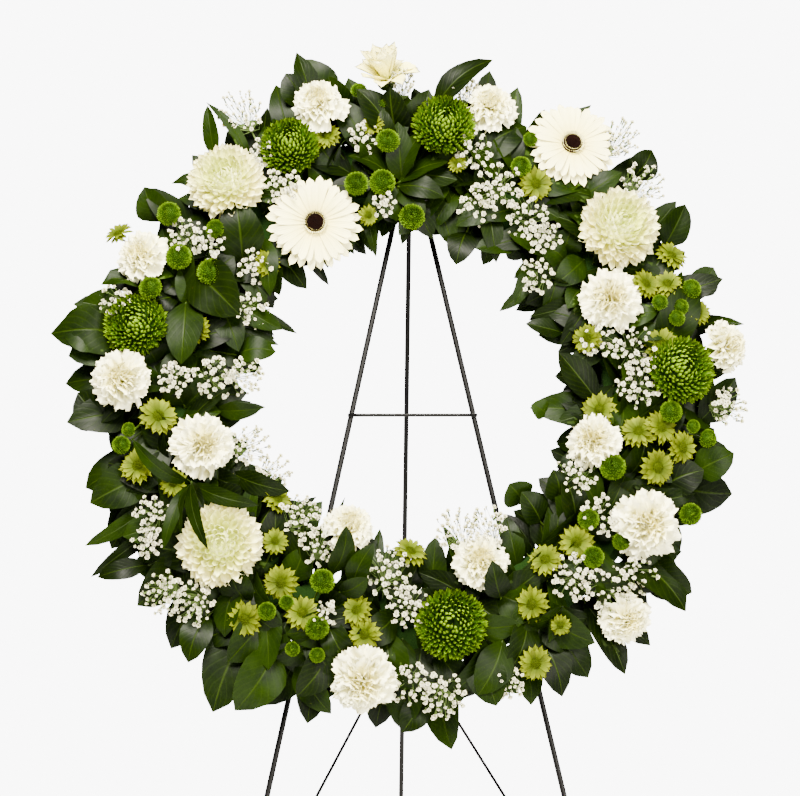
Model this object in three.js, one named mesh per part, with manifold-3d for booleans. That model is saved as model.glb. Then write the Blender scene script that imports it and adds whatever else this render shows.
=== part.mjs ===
// A funeral wreath of leaves and white and green flowers, hung on a folding wire easel.
// Lengths are in millimetres. X runs to the viewer's right, Y to the back and Z up.
// The wreath's own frame lies along the leaning legs: x right, y up the legs, z out to the front,
// with its origin at the middle of the ring, level with the middle of the leg wire.
import * as THREE from 'three';
import { mergeVertices } from 'three/addons/utils/BufferGeometryUtils.js';
import Module from 'manifold-3d';

const wasm = await Module();
wasm.setup();

const DEGREE = Math.PI / 180;
const GAP = 0.3;

// Easel
const FRONT_LEAN = 10 * DEGREE;
const BACK_LEAN = 16 * DEGREE;
const LEG_SPREAD = 0.2232;
const FRAME_LENGTH = 1352;
const APEX_ABOVE_RING = 304;
const LEG_RADIUS = 3.1;
const BACK_LEG_RADIUS = 2.8;
const LEG_TOP_DROP = 28;
const PIVOT_DROP = 32;
const PIVOT_BAR_HALF = 17;
const BACK_EYE_RADIUS = 6.7;
const CROSSBAR_RADIUS = 1.9;
const CROSSBAR_DROP = 318;
const CROSSBAR_OVERHANG = 4;
const STAY_RADIUS = 1.7;
const STAY_PIN_DROP = 905;
const STAY_REACH = 434.9;
const STAY_BEND_HALF = 6;
const STAY_EYE_RADIUS = 3.7;
const STAY_EYE_WIRE = 1.4;
const HOOK_RADIUS = 2;

// How far the legs' middle lies to the right of the wreath's
const EASEL_SHIFT = 10;

// Foam ring on its backing
const RING_INNER = 229;
const RING_OUTER = 305;
const RING_MIDDLE = (RING_INNER + RING_OUTER) / 2;
const RING_SIDES = 24;
const BACKING_THICKNESS = 6;
const FOAM_THICKNESS = 48;
const FOAM_ROUNDING = 9;
const BACKING_Z = LEG_RADIUS + GAP;
const FOAM_Z = BACKING_Z + BACKING_THICKNESS + GAP;
const FOAM_FRONT = FOAM_Z + FOAM_THICKNESS;
const HOLE_DEPTH = 22;
const HOLE_SIDES = 4;

// The hook passes under the ring's inner edge and its foliage band
const HOOK_DROP = APEX_ABOVE_RING - RING_INNER + 6 + HOOK_RADIUS;
const HOOK_FRONT = FOAM_FRONT + 14;
const HOOK_RISE = 4;

// Foliage bands along both edges of the foam
const SECTORS = 8;
const BAND_THICKNESS = 3;
const BAND_CLEARANCE = 1;
const BAND_FRONT = FOAM_FRONT - 4;
const BAND_BACK = FOAM_Z + 10;
const OUTER_BAND = RING_OUTER + BAND_CLEARANCE + BAND_THICKNESS / 2;
const INNER_BAND = RING_INNER - BAND_CLEARANCE - BAND_THICKNESS / 2;
const RIB_RADIUS = 2;
const RIB_Z = FOAM_FRONT + 3.4;

// Stems
const BLOOM_STEM_RADIUS = 2.2;
const SPRAY_STEM_RADIUS = 1.1;
const HAIR_STEM_RADIUS = 0.55;
const FORK_RADIUS = 1.8;
const FLOWER_SIZE = 4;
const HEAD_CLEARANCE = 1.2;
const SHORT_EDGE = 0.15;

// A spray's branch bends at one of these heights over the foam, this far round the ring from the
// straight way, and at this share of it
const BEND_HEIGHTS = [3, 6, 9, 13, 17];
const BEND_TURNS = [0, 8, -8, 16, -16, 26, -26];
const BEND_SHARES = [0.5, 0.2, 0.85];
const FORK_TURNS = [0, 3, -3, 6, -6, 9, -9, 13, -13];
const FORK_RINGS = [RING_MIDDLE, RING_MIDDLE - 21, RING_MIDDLE + 21];

const COLOURS = {
  wire: [0x101010, 0.35, 0.6],
  backing: [0x2b3a2a, 0.6, 0],
  foam: [0x2f5a35, 0.95, 0],
  leaf: [0x1f4a1c, 0.45, 0],
  cream: [0xf2efdc, 0.7, 0],
  white: [0xf7f6ee, 0.75, 0],
  lime: [0xb8c766, 0.7, 0],
  green: [0x5d8f1f, 0.7, 0],
  button: [0x4f7d1d, 0.75, 0],
  breath: [0xf4f4ee, 0.8, 0],
};

// Where each bloom faces the viewer: x, y and diameter, and how far it stands out of the mat
const GERBERAS = [[-104, 196, 96, 2], [193, 291, 94, 0]];
const FOOTBALL_MUMS = [[-203, 241, 84, 0], [243, 189, 88, 0], [-210, -174, 88, 0]];
const SPIDER_MUMS = [
  [-131, 282, 60, -6], [44, 306, 64, 0], [-303, 75, 64, -6], [308, 23, 70, 0], [46, -264, 72, 0],
];
const CARNATIONS = [
  [-97, 331, 60, 12], [98, 331, 58, 0], [-297, 154, 60, 0], [-318, 13, 68, 4],
  [-231, -63, 70, 0], [233, 106, 70, 0], [360, 55, 58, -3], [212, -58, 60, 0],
  [266, -151, 78, 0], [242, -253, 56, -10], [82, -196, 62, 0], [-67, -156, 56, -4],
  [-51, -321, 74, 0],
];
const TOP_FLOWER = [-25, 372, 60, -2];

// Sprays of small heads, each a list of x, y and diameter
const BUTTON_SPRAYS = [
  [[-268, 205, 28], [-258, 153, 29], [-221, 134, 30], [-288, 117, 25], [-216, 186, 22]],
  [[-56, 242, 27], [-25, 243, 28], [-20, 289, 28], [-54, 352, 18], [7, 206, 29],
    [132, 260, 24], [138, 298, 16]],
  [[325, 119, 24], [297, 96, 18], [318, 84, 18], [297, -25, 25]],
  [[229, -93, 26], [318, -139, 24], [201, -143, 24], [234, -183, 20], [206, -189, 24]],
  [[-97, -216, 27], [-103, -266, 27], [-158, -246, 20], [-133, -289, 17]],
];
const DAISY_SPRAYS = [
  [[-327, 186, 34], [-159, 147, 34], [-235, 71, 34], [-280, -29, 44], [-302, -85, 42]],
  [[-37, 314, 28], [60, 262, 24], [149, 236, 40], [-89, 290, 24]],
  [[305, 159, 38], [270, 130, 34], [338, 97, 32], [286, 64, 34], [206, 61, 36]],
  [[261, -40, 42], [286, -52, 38], [310, -68, 38], [276, -92, 42],
    [188, -168, 36], [153, -188, 38], [138, -241, 40], [140, -306, 40]],
  [[2, -178, 40], [-58, -243, 38], [-49, -276, 34], [-119, -246, 36], [-182, -256, 42],
    [-142, -216, 40], [-149, -170, 32], [-147, -122, 38]],
];

// Clouds of tiny white flowers: x, y and radius of each cloud in a spray
const BREATH_SPRAYS = [
  [[-186, 318, 20], [-141, 232, 14], [-164, 286, 12], [-251, 177, 13]],
  [[-330, 106, 16], [-172, 116, 20], [-262, 46, 16], [-200, 17, 24], [-262, 14, 14]],
  [[-172, -50, 18], [-177, -85, 18], [-285, -145, 18], [-256, -233, 24]],
  [[-98, -178, 18], [-14, -222, 22], [20, -334, 22], [111, -328, 16]],
  [[184, -212, 20], [224, -214, 14], [190, -98, 20], [262, -206, 14]],
  [[222, 44, 16], [254, 62, 16], [258, 2, 16], [368, -15, 16]],
  [[77, 262, 16], [105, 237, 22], [139, 203, 20], [158, 150, 18],
    [275, 243, 18], [71, 358, 14]],
];

// Leaf tips round the outer edge: x, y and the leaf's width
const OUTER_LEAVES = [
  [-403, 71, 50], [-388, 19, 42], [-383, -32, 42], [-364, -101, 46], [-362, -170, 20],
  [-356, -204, 18], [-302, -239, 44], [-266, -284, 40], [-218, -357, 56], [-164, -349, 40],
  [-113, -370, 34], [-36, -374, 34], [-6, -379, 38], [49, -399, 40], [99, -350, 38],
  [139, -350, 38], [172, -342, 38], [205, -319, 38], [244, -317, 34], [275, -284, 32],
  [312, -248, 46], [374, -111, 52], [371, -67, 34], [382, -9, 22], [403, 39, 20],
  [394, 88, 28], [365, 134, 32], [328, 174, 34], [314, 226, 32], [288, 291, 36],
  [218, 342, 28], [167, 345, 24], [133, 364, 26], [103, 392, 32], [54, 382, 24],
  [14, 372, 24], [-64, 376, 28], [-89, 390, 32], [-124, 401, 36], [-148, 372, 32],
  [-228, 341, 14], [-245, 286, 28], [-298, 240, 32], [-341, 137, 30], [-378, 106, 30],
];
const INNER_LEAVES = [
  [-33, 163, 14], [-87, 134, 15], [-113, 125, 28], [-124, 76, 16], [-145, 58, 18],
  [-163, 36, 28], [-160, -15, 18], [-180, -50, 20], [-140, -92, 20], [-102, -112, 16],
  [-70, -117, 16], [-30, -150, 18], [40, -149, 16], [128, -109, 30], [150, -95, 26],
  [166, -60, 24], [141, -15, 34], [173, 26, 26], [152, 69, 30], [110, 103, 18],
  [126, 138, 18], [92, 158, 22], [58, 162, 30], [-2, 182, 16],
];
const FRONT_LEAVES = 36;
const MOST_HITS = 9;
const LONG_LEAF_WIDTH = 34;
const LEAF_THICKNESS = 1.3;
const PETIOLE_HALF = 1.6;
// Each station of a leaf: how far along it is, and its share of the full width
const LONG_LEAF = [[0, 0], [0.35, 1], [0.7, 0.8]];
const SHORT_LEAF = [[0, 0], [0.45, 1]];
const SEED = 20;

const Z_AXIS = new THREE.Vector3(0, 0, 1);

// A repeatable stream of numbers from 0 to 1
function randomStream(seed) {
  let state = seed;
  return () => {
    state = (state * 1664525 + 1013904223) % 4294967296;
    return state / 4294967296;
  };
}

function vector(x, y, z) {
  return new THREE.Vector3(x, y, z);
}

function polar(radius, angle, z) {
  return vector(radius * Math.cos(angle), radius * Math.sin(angle), z);
}

function solidOf(geometry, tolerance = 1e-4) {
  const bare = geometry.clone();
  bare.deleteAttribute('normal');
  bare.deleteAttribute('uv');
  const merged = mergeVertices(bare, tolerance);
  return new wasm.Manifold(new wasm.Mesh({
    numProp: 3,
    vertProperties: Float32Array.from(merged.attributes.position.array),
    triVerts: Uint32Array.from(merged.index.array),
  }));
}

function solidFromFaces(points, faces) {
  return new wasm.Manifold(new wasm.Mesh({
    numProp: 3,
    vertProperties: Float32Array.from(points.flatMap((p) => [p.x, p.y, p.z])),
    triVerts: Uint32Array.from(faces.flat()),
  }));
}

function union(solids) {
  return wasm.Manifold.union(solids);
}

function moved(solid, matrix) {
  return solid.transform(matrix.elements);
}

// The largest body of a solid, without loose scraps or very short edges. Its corners are merged
// once more, because parts that only touch along an edge come apart then.
function oneBody(solid, shortest = 0.02) {
  let body = solid;
  for (let pass = 0; pass < 3; pass += 1) {
    const bodies = body.decompose();
    bodies.sort((a, b) => b.volume() - a.volume());
    body = remerged(bodies[0].simplify(shortest));
  }
  return body;
}

function remerged(solid) {
  const { vertProperties, triVerts } = solid.getMesh();
  const geometry = new THREE.BufferGeometry();
  geometry.setAttribute('position', new THREE.BufferAttribute(vertProperties, 3));
  geometry.setIndex(new THREE.BufferAttribute(triVerts, 1));
  return solidOf(geometry.toNonIndexed(), 2e-3);
}

function meshOf(name, solid, colour) {
  const { vertProperties, triVerts } = solid.getMesh();
  const geometry = new THREE.BufferGeometry();
  geometry.setAttribute('position', new THREE.BufferAttribute(vertProperties, 3));
  geometry.setIndex(new THREE.BufferAttribute(triVerts, 1));
  geometry.computeVertexNormals();
  const [color, roughness, metalness] = COLOURS[colour];
  const mesh = new THREE.Mesh(
    geometry, new THREE.MeshStandardMaterial({ color, roughness, metalness }));
  mesh.name = name;
  return mesh;
}

function circle(radius, sides) {
  const corners = [];
  for (let i = 0; i < sides; i += 1) {
    const angle = (i * 2 * Math.PI) / sides;
    corners.push(new THREE.Vector2(radius * Math.cos(angle), radius * Math.sin(angle)));
  }
  return new THREE.Shape(corners);
}

function rod(start, end, radius, sides) {
  return solidOf(new THREE.ExtrudeGeometry(circle(radius, sides), {
    steps: 1, bevelEnabled: false, extrudePath: new THREE.LineCurve3(start, end),
  }));
}

// A tube through a few points, square to its path at each of them, with an optional radius at each
function tube(points, radii, sides) {
  const corners = [];
  const faces = [];
  const first = points[1].clone().sub(points[0]);
  let across = vector(1, 0, 0).cross(first);
  if (across.lengthSq() < 0.01 * first.lengthSq()) {
    across = vector(0, 1, 0).cross(first);
  }
  points.forEach((point, i) => {
    const before = points[Math.max(i - 1, 0)];
    const after = points[Math.min(i + 1, points.length - 1)];
    const along = after.clone().sub(before).normalize();
    across = across.clone().addScaledVector(along, -across.dot(along)).normalize();
    const other = along.clone().cross(across);
    for (let k = 0; k < sides; k += 1) {
      const angle = (k * 2 * Math.PI) / sides;
      corners.push(point.clone()
        .addScaledVector(across, radii[i] * Math.cos(angle))
        .addScaledVector(other, radii[i] * Math.sin(angle)));
      if (i > 0) {
        const [a, b] = [(i - 1) * sides + k, (i - 1) * sides + ((k + 1) % sides)];
        faces.push([a, b, b + sides], [a, b + sides, a + sides]);
      }
    }
  });
  const last = (points.length - 1) * sides;
  for (let k = 1; k + 1 < sides; k += 1) {
    faces.push([0, k + 1, k], [last, last + k, last + k + 1]);
  }
  return solidFromFaces(corners, faces);
}

function bentWire(points, radius, sides, steps) {
  return solidOf(new THREE.ExtrudeGeometry(circle(radius, sides), {
    steps, bevelEnabled: false, extrudePath: new THREE.CatmullRomCurve3(points),
  }));
}

function block(low, high) {
  const size = high.clone().sub(low);
  const geometry = new THREE.BoxGeometry(size.x, size.y, size.z);
  geometry.translate((low.x + high.x) / 2, (low.y + high.y) / 2, (low.z + high.z) / 2);
  return solidOf(geometry);
}

// A closed solid turned about z from a profile of radius and height
function turned(profile, sides) {
  const points = profile.map(([radius, z]) => new THREE.Vector2(radius, z));
  const geometry = new THREE.LatheGeometry(points, sides);
  geometry.rotateX(Math.PI / 2);
  const solid = solidOf(geometry);
  return solid.volume() > 0 ? solid : solidOf(flipped(geometry));
}

function flipped(geometry) {
  const index = geometry.index.array.slice();
  for (let i = 0; i < index.length; i += 3) {
    [index[i], index[i + 1]] = [index[i + 1], index[i]];
  }
  const copy = geometry.clone();
  copy.setIndex(new THREE.BufferAttribute(index, 1));
  return copy;
}

// The wreath's own frame, placed so that the feet stand at height 0
const faceMatrix = new THREE.Matrix4()
  .makeRotationX(Math.PI / 2 - FRONT_LEAN)
  .setPosition(0, 0, (FRAME_LENGTH - APEX_ABOVE_RING) * Math.cos(FRONT_LEAN));

function onFrame(x, drop, z) {
  return vector(x, APEX_ABOVE_RING - drop, z).applyMatrix4(faceMatrix);
}

// Easel

const floorBlock = block(vector(-600, -600, -60), vector(600, 900, 0));
const pivot = onFrame(0, PIVOT_DROP, -LEG_RADIUS - GAP - LEG_RADIUS);

function frontLeg(side) {
  const top = onFrame(side * LEG_SPREAD * LEG_TOP_DROP, LEG_TOP_DROP, 0);
  const lowDrop = FRAME_LENGTH + 20;
  const foot = onFrame(side * LEG_SPREAD * lowDrop, lowDrop, 0);
  return rod(top, foot, LEG_RADIUS, 10).subtract(floorBlock);
}

function crossbar() {
  const half = LEG_SPREAD * CROSSBAR_DROP + CROSSBAR_OVERHANG;
  const z = LEG_RADIUS + GAP + CROSSBAR_RADIUS;
  return rod(onFrame(-half, CROSSBAR_DROP, z), onFrame(half, CROSSBAR_DROP, z), CROSSBAR_RADIUS, 8);
}

function pivotBar() {
  const end = vector(PIVOT_BAR_HALF, 0, 0);
  return rod(pivot.clone().sub(end), pivot.clone().add(end), LEG_RADIUS, 10);
}

// A wire prong that passes under the ring's inner edge, welded to both legs
function wreathHook() {
  const half = LEG_SPREAD * HOOK_DROP;
  const back = LEG_RADIUS + GAP;
  const front = HOOK_FRONT;
  const points = [
    vector(-half, 0, back), vector(-half, 0, 30), vector(-half, 0, front - 8),
    vector(-half + 5, HOOK_RISE, front), vector(half - 5, HOOK_RISE, front),
    vector(half, 0, front - 8), vector(half, 0, 30), vector(half, 0, back),
  ];
  const placed = points.map((p) => onFrame(p.x, HOOK_DROP - p.y, p.z));
  return bentWire(placed, HOOK_RADIUS, 5, 16);
}

// Backward direction of the opened back leg, and the direction square to it
const backLegDown = vector(0, Math.sin(BACK_LEAN), -Math.cos(BACK_LEAN));
const backLegOut = vector(0, Math.cos(BACK_LEAN), Math.sin(BACK_LEAN));

function backLeg() {
  const eye = new THREE.TorusGeometry(BACK_EYE_RADIUS, BACK_LEG_RADIUS, 6, 12);
  eye.rotateY(Math.PI / 2);
  eye.translate(pivot.x, pivot.y, pivot.z);
  const start = pivot.clone().addScaledVector(backLegOut, BACK_EYE_RADIUS);
  const length = (pivot.z + 40) / Math.cos(BACK_LEAN);
  const foot = start.clone().addScaledVector(backLegDown, length);
  const leg = rod(start, foot, BACK_LEG_RADIUS, 10);
  return solidOf(eye).add(leg).subtract(floorBlock);
}

const stayEyeX = LEG_SPREAD * STAY_PIN_DROP;
const stayEyeZ = -(LEG_RADIUS + GAP + STAY_EYE_RADIUS + STAY_EYE_WIRE);
const stayPivot = onFrame(0, STAY_PIN_DROP, stayEyeZ);

function stayEye(side) {
  const eye = new THREE.TorusGeometry(STAY_EYE_RADIUS, STAY_EYE_WIRE, 5, 10);
  eye.rotateY(Math.PI / 2);
  eye.translate(side * stayEyeX, stayPivot.y, stayPivot.z);
  return solidOf(eye);
}

// Unit direction in the side view from the stay's pivot to where it bears on the back leg
function stayDirection() {
  const line = pivot.clone().addScaledVector(backLegOut, BACK_EYE_RADIUS).sub(stayPivot);
  const along = line.dot(backLegDown);
  const square = line.lengthSq() - along * along;
  const down = -along - Math.sqrt(STAY_REACH * STAY_REACH - square);
  return line.addScaledVector(backLegDown, down).normalize();
}

function stay() {
  const direction = stayDirection();
  const at = (x, t) => vector(x, stayPivot.y, stayPivot.z).addScaledVector(direction, t);
  const bendStart = STAY_REACH - STAY_BEND_HALF + STAY_RADIUS + BACK_LEG_RADIUS + 1;
  const inside = stayEyeX - 9;
  const pieces = [-1, 1].flatMap((side) => [
    rod(at(side * (stayEyeX + 6), 0), at(side * (inside - 1), 0), STAY_RADIUS, 5),
    rod(at(side * (inside + 0.8), -1.2), at(side * STAY_BEND_HALF, bendStart), STAY_RADIUS, 5),
  ]);
  const bend = [];
  for (let i = -1; i <= 9; i += 1) {
    const angle = (Math.PI * i) / 8;
    const x = STAY_BEND_HALF * Math.cos(angle);
    bend.push(at(x, bendStart + STAY_BEND_HALF * Math.sin(angle)));
  }
  pieces.push(bentWire(bend, STAY_RADIUS, 5, 8));
  return oneBody(union(pieces));
}

// Ring

function ringPlate() {
  return turned([
    [RING_INNER, BACKING_Z], [RING_OUTER, BACKING_Z],
    [RING_OUTER, BACKING_Z + BACKING_THICKNESS], [RING_INNER, BACKING_Z + BACKING_THICKNESS],
    [RING_INNER, BACKING_Z],
  ], RING_SIDES);
}

// The foam's solid, larger all round by the given room
function foamBody(room) {
  const [inner, outer] = [RING_INNER - room, RING_OUTER + room];
  const [back, front] = [FOAM_Z - room, FOAM_FRONT + room];
  return turned([
    [inner, back], [outer, back], [outer, front - FOAM_ROUNDING], [outer - FOAM_ROUNDING, front],
    [inner + FOAM_ROUNDING, front], [inner, front - FOAM_ROUNDING], [inner, back],
  ], RING_SIDES);
}

function foamRing(stems) {
  const holes = stems.map(({ x, y, radius }) => rod(
    vector(x, y, FOAM_FRONT - HOLE_DEPTH), vector(x, y, FOAM_FRONT + 5),
    (radius + GAP) / Math.cos(Math.PI / HOLE_SIDES), HOLE_SIDES));
  return foamBody(0).subtract(union(holes));
}

// Petals

// Rings of three points round each point of a path that runs down from a head's middle
function stemRings(path, radius) {
  let across = null;
  return path.map((point, i) => {
    const after = path[Math.min(i + 1, path.length - 1)];
    const before = path[Math.max(i - 1, 0)];
    const up = i === 0 ? Z_AXIS.clone() : before.clone().sub(after).normalize();
    across = across || polar(1, Math.PI / 3, 0);
    across = across.clone().addScaledVector(up, -across.dot(up)).normalize();
    const other = up.clone().cross(across);
    return [0, 1, 2].map((k) => point.clone()
      .addScaledVector(across, radius * Math.cos((k * 2 * Math.PI) / 3))
      .addScaledVector(other, radius * Math.sin((k * 2 * Math.PI) / 3)));
  });
}

// Joins the stem's top ring of three points to a head's lowest ring of six, and closes its far end
function growStem(points, faces, ring, rings) {
  const first = points.length;
  rings.forEach((own) => points.push(...own));
  for (let k = 0; k < 3; k += 1) {
    const [here, next] = [first + k, first + ((k + 1) % 3)];
    const [a, b, c] = [ring[2 * k], ring[2 * k + 1], ring[(2 * k + 2) % 6]];
    faces.push([here, b, a], [here, c, b], [here, next, c]);
  }
  closeStem(faces, first, rings.length);
}

function closeStem(faces, first, ringCount) {
  for (let level = 0; level + 1 < ringCount; level += 1) {
    for (let k = 0; k < 3; k += 1) {
      const [a, b] = [first + level * 3 + k, first + level * 3 + ((k + 1) % 3)];
      faces.push([b, a, a + 3], [b, a + 3, b + 3]);
    }
  }
  const last = first + (ringCount - 1) * 3;
  faces.push([last, last + 2, last + 1]);
}

// A head of stacked petal layers, drawn as one closed skin that runs out under each layer to the
// petals' tips and back over it, then on to the layer above, which is turned by half a petal
function petalStack(petals, list, [bottom, top], random = () => 0.5, shake = 0, stem = null) {
  const step = (2 * Math.PI) / petals;
  const points = stem ? [] : [vector(0, 0, bottom)];
  const faces = [];
  const ringOf = (radius, z, turn) => {
    const first = points.length;
    for (let i = 0; i < petals; i += 1) {
      points.push(polar(radius, (i + turn) * step, z));
    }
    return Array.from({ length: petals }, (_, i) => first + i);
  };
  let below = null;
  list.forEach((layer, index) => {
    const turn = index * 0.5;
    const thickness = layer.thickness || 1.6;
    const under = ringOf(layer.inner, layer.low, turn);
    const rim = [];
    for (let i = 0; i < petals; i += 1) {
      const sway = (random() - 0.5) * shake;
      const notchZ = layer.low + (layer.rise - layer.low) * 0.5 - sway;
      rim.push(points.length, points.length + 1);
      points.push(polar(layer.outer, (i + turn) * step, layer.rise + sway));
      points.push(polar(layer.notch, (i + turn + 0.5) * step, notchZ));
    }
    const over = ringOf(layer.inner * 0.94, layer.low + thickness, turn);
    for (let i = 0; i < petals; i += 1) {
      const next = (i + 1) % petals;
      const [tip, notch, nextTip] = [rim[2 * i], rim[2 * i + 1], rim[2 * next]];
      faces.push([under[i], notch, tip], [under[i], under[next], notch], [under[next], nextTip, notch]);
      faces.push([over[i], tip, notch], [over[i], notch, over[next]], [over[next], notch, nextTip]);
      if (below) {
        faces.push([below[i], below[next], under[i]], [below[next], under[next], under[i]]);
      } else if (!stem) {
        faces.push([0, under[next], under[i]]);
      }
    }
    if (stem && !below) {
      growStem(points, faces, under, stem);
    }
    below = over;
  });
  const peak = points.length;
  points.push(vector(0, 0, top));
  for (let i = 0; i < petals; i += 1) {
    faces.push([below[i], below[(i + 1) % petals], peak]);
  }
  return solidFromFaces(points, faces);
}

function gerberaHead(radius) {
  const petals = petalStack(15, [
    { inner: radius * 0.5, notch: radius * 0.66, outer: radius, low: 3, rise: 7 },
    { inner: radius * 0.42, notch: radius * 0.6, outer: radius * 0.92, low: 7, rise: 12 },
  ], [0, 6]);
  return petals.add(turned([[0, 3], [radius * 0.25, 5], [radius * 0.25, 10], [0, 11]], 10));
}

function footballHead(radius, random) {
  const shares = [[1, 4, 9], [0.83, 12, 19], [0.54, 21, 29]];
  return petalStack(9, shares.map(([share, low, rise]) => ({
    inner: radius * share * 0.55, notch: radius * share * 0.68, outer: radius * share, low, rise,
  })), [0, 25], random, 4);
}

function spiderHead(radius) {
  const shares = [[1, 5, 5], [0.9, 10, 17], [0.62, 17, 25]];
  return petalStack(8, shares.map(([share, low, rise]) => ({
    inner: radius * share * 0.6, notch: radius * share * 0.5, outer: radius * share, low, rise,
    thickness: 2.4,
  })), [0, 15]);
}

function carnationHead(radius, random) {
  const shares = [[1, 5, 12], [0.76, 15, 27]];
  return petalStack(7, shares.map(([share, low, rise]) => ({
    inner: radius * share * 0.6, notch: radius * share * 0.8, outer: radius * share, low, rise,
  })), [-9, 25], random, 8);
}

function topHead(radius, random) {
  const shares = [[1, 4, 12], [0.75, 8, 30], [0.4, 14, 44]];
  return petalStack(6, shares.map(([share, low, rise]) => ({
    inner: radius * share * 0.75, notch: radius * share * 0.45, outer: radius * share, low, rise,
  })), [0, 22], random, 8);
}

function daisyHead(radius, stem) {
  return petalStack(6, [
    { inner: radius * 0.4, notch: radius * 0.5, outer: radius, low: 2, rise: 4.5, thickness: 2 },
  ], [0, 6], () => 0.5, 0, stem);
}

// A ball of short florets: rings of bumps, each ring turned by half a bump
function buttonHead(radius, stem) {
  const bumps = 6;
  const points = [];
  const faces = [];
  const rings = [[0.7, 0.45], [1, 1.05], [0.62, 1.62]];
  rings.forEach(([share, height], ring) => {
    for (let i = 0; i < bumps; i += 1) {
      const angle = ((i + ring / 2) * 2 * Math.PI) / bumps;
      const bump = i % 2 === 0 ? 1.05 : 0.95;
      points.push(polar(radius * share * bump, angle, radius * height * bump));
    }
  });
  const peak = points.length;
  points.push(vector(0, 0, radius * 1.8));
  for (let i = 0; i < bumps; i += 1) {
    const next = (i + 1) % bumps;
    faces.push([peak, 12 + i, 12 + next]);
    for (const low of [0, 6]) {
      faces.push([low + i, low + next, low + 6 + i], [low + next, low + 6 + next, low + 6 + i]);
    }
  }
  growStem(points, faces, [0, 1, 2, 3, 4, 5], stem);
  return solidFromFaces(points, faces);
}

// Three tiny flowers on hair-thin stems that part at the top of one stalk
function breathHead(radius, stem, random) {
  const points = [];
  const faces = [];
  stem.forEach((own) => points.push(...own));
  const tip = points.length;
  points.push(stem[0][0].clone().add(stem[0][1]).add(stem[0][2]).divideScalar(3).setZ(1.4));
  closeStem(faces, 0, stem.length);
  for (let k = 0; k < 3; k += 1) {
    const roots = [k, (k + 1) % 3, tip];
    const angle = Math.PI / 3 + ((k + 0.5) * 2 * Math.PI) / 3 + (random() - 0.5) * 0.5;
    const end = polar(radius * (0.55 + 0.35 * random()), angle, 16 + random() * 7);
    const start = new THREE.Vector3();
    roots.forEach((index) => start.addScaledVector(points[index], 1 / 3));
    const along = end.clone().sub(start).normalize();
    const spokes = roots.map((index) => {
      const spoke = points[index].clone().sub(start);
      return spoke.addScaledVector(along, -spoke.dot(along)).normalize();
    });
    const neck = end.clone().addScaledVector(along, -5);
    const size = FLOWER_SIZE * (0.9 + 0.3 * random());
    let ring = roots;
    for (const [centre, wide] of [[neck, HAIR_STEM_RADIUS], [end, size]]) {
      const next = spokes.map((spoke) => points.push(centre.clone().addScaledVector(spoke, wide)) - 1);
      for (let i = 0; i < 3; i += 1) {
        const j = (i + 1) % 3;
        faces.push([ring[i], ring[j], next[j]], [ring[i], next[j], next[i]]);
      }
      ring = next;
    }
    faces.push(ring);
  }
  return solidFromFaces(points, faces);
}

// Where things stand

// Height of the mat's front above the leg plane, lower towards both edges
function matHeight(x, y) {
  const away = Math.hypot(x, y) - RING_MIDDLE;
  return 82 - 0.0021 * away * away;
}

// Unit direction in which a head at this place faces
function facing(x, y, more = 1) {
  const away = Math.hypot(x, y) - RING_MIDDLE;
  const angle = Math.atan2(y, x);
  const tilt = THREE.MathUtils.clamp(away / 110, -1, 1) * 38 * DEGREE * more;
  return polar(Math.sin(tilt), angle, Math.cos(tilt));
}

function placement(origin, direction, spin = 0) {
  const matrix = new THREE.Matrix4().makeRotationFromQuaternion(
    new THREE.Quaternion().setFromUnitVectors(Z_AXIS, direction));
  matrix.multiply(new THREE.Matrix4().makeRotationZ(spin));
  return matrix.setPosition(origin);
}

function nearestFoot(x, y) {
  const radius = THREE.MathUtils.clamp(Math.hypot(x, y), RING_INNER + 14, RING_OUTER - 14);
  const angle = Math.atan2(y, x);
  return { x: radius * Math.cos(angle), y: radius * Math.sin(angle) };
}

// Everything that a stem has to keep clear of: capsules with an owner
const capsules = [];

function addCapsule(start, end, radius, owner) {
  capsules.push({ line: new THREE.Line3(start, end), radius, owner });
}

function clearOfCapsules(start, end, radius, owner) {
  const line = new THREE.Line3(start, end);
  return capsules.every((item) => {
    if (item.owner === owner) {
      return true;
    }
    const needed = item.radius + radius + 0.5;
    return line.distanceSqToLine3(item.line) > needed * needed;
  });
}

// Keeps a stem off the foam and the two bands at its edges
function clearOfRing(start, end, radius) {
  for (let k = 0; k <= 6; k += 1) {
    const p = start.clone().lerp(end, k / 6);
    const away = Math.hypot(p.x, p.y);
    const beside = Math.max(RING_INNER + 4 - away, away - RING_OUTER + 4, 0);
    const low = beside > 0 ? Math.max(FOAM_FRONT - beside, BAND_FRONT) : FOAM_FRONT;
    if (p.z < low + radius + 0.5) {
      return false;
    }
  }
  return true;
}

function clearPath(points, radius, owner) {
  return points.slice(1).every((point, index) => clearOfCapsules(points[index], point, radius, owner)
    && clearOfRing(points[index], point, radius));
}

function stemSolid(points, radius, sides) {
  return tube(points, points.map(() => radius), sides);
}

// Blooms

const foamStems = [];
const keepOuts = [];
const blooms = [];

function headEnvelope(radius, base, depth) {
  const wide = radius + HEAD_CLEARANCE;
  return turned([[0, base], [wide, base + depth * 0.25], [wide, base + depth + 3],
    [0, base + depth + 3]], 8);
}

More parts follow.
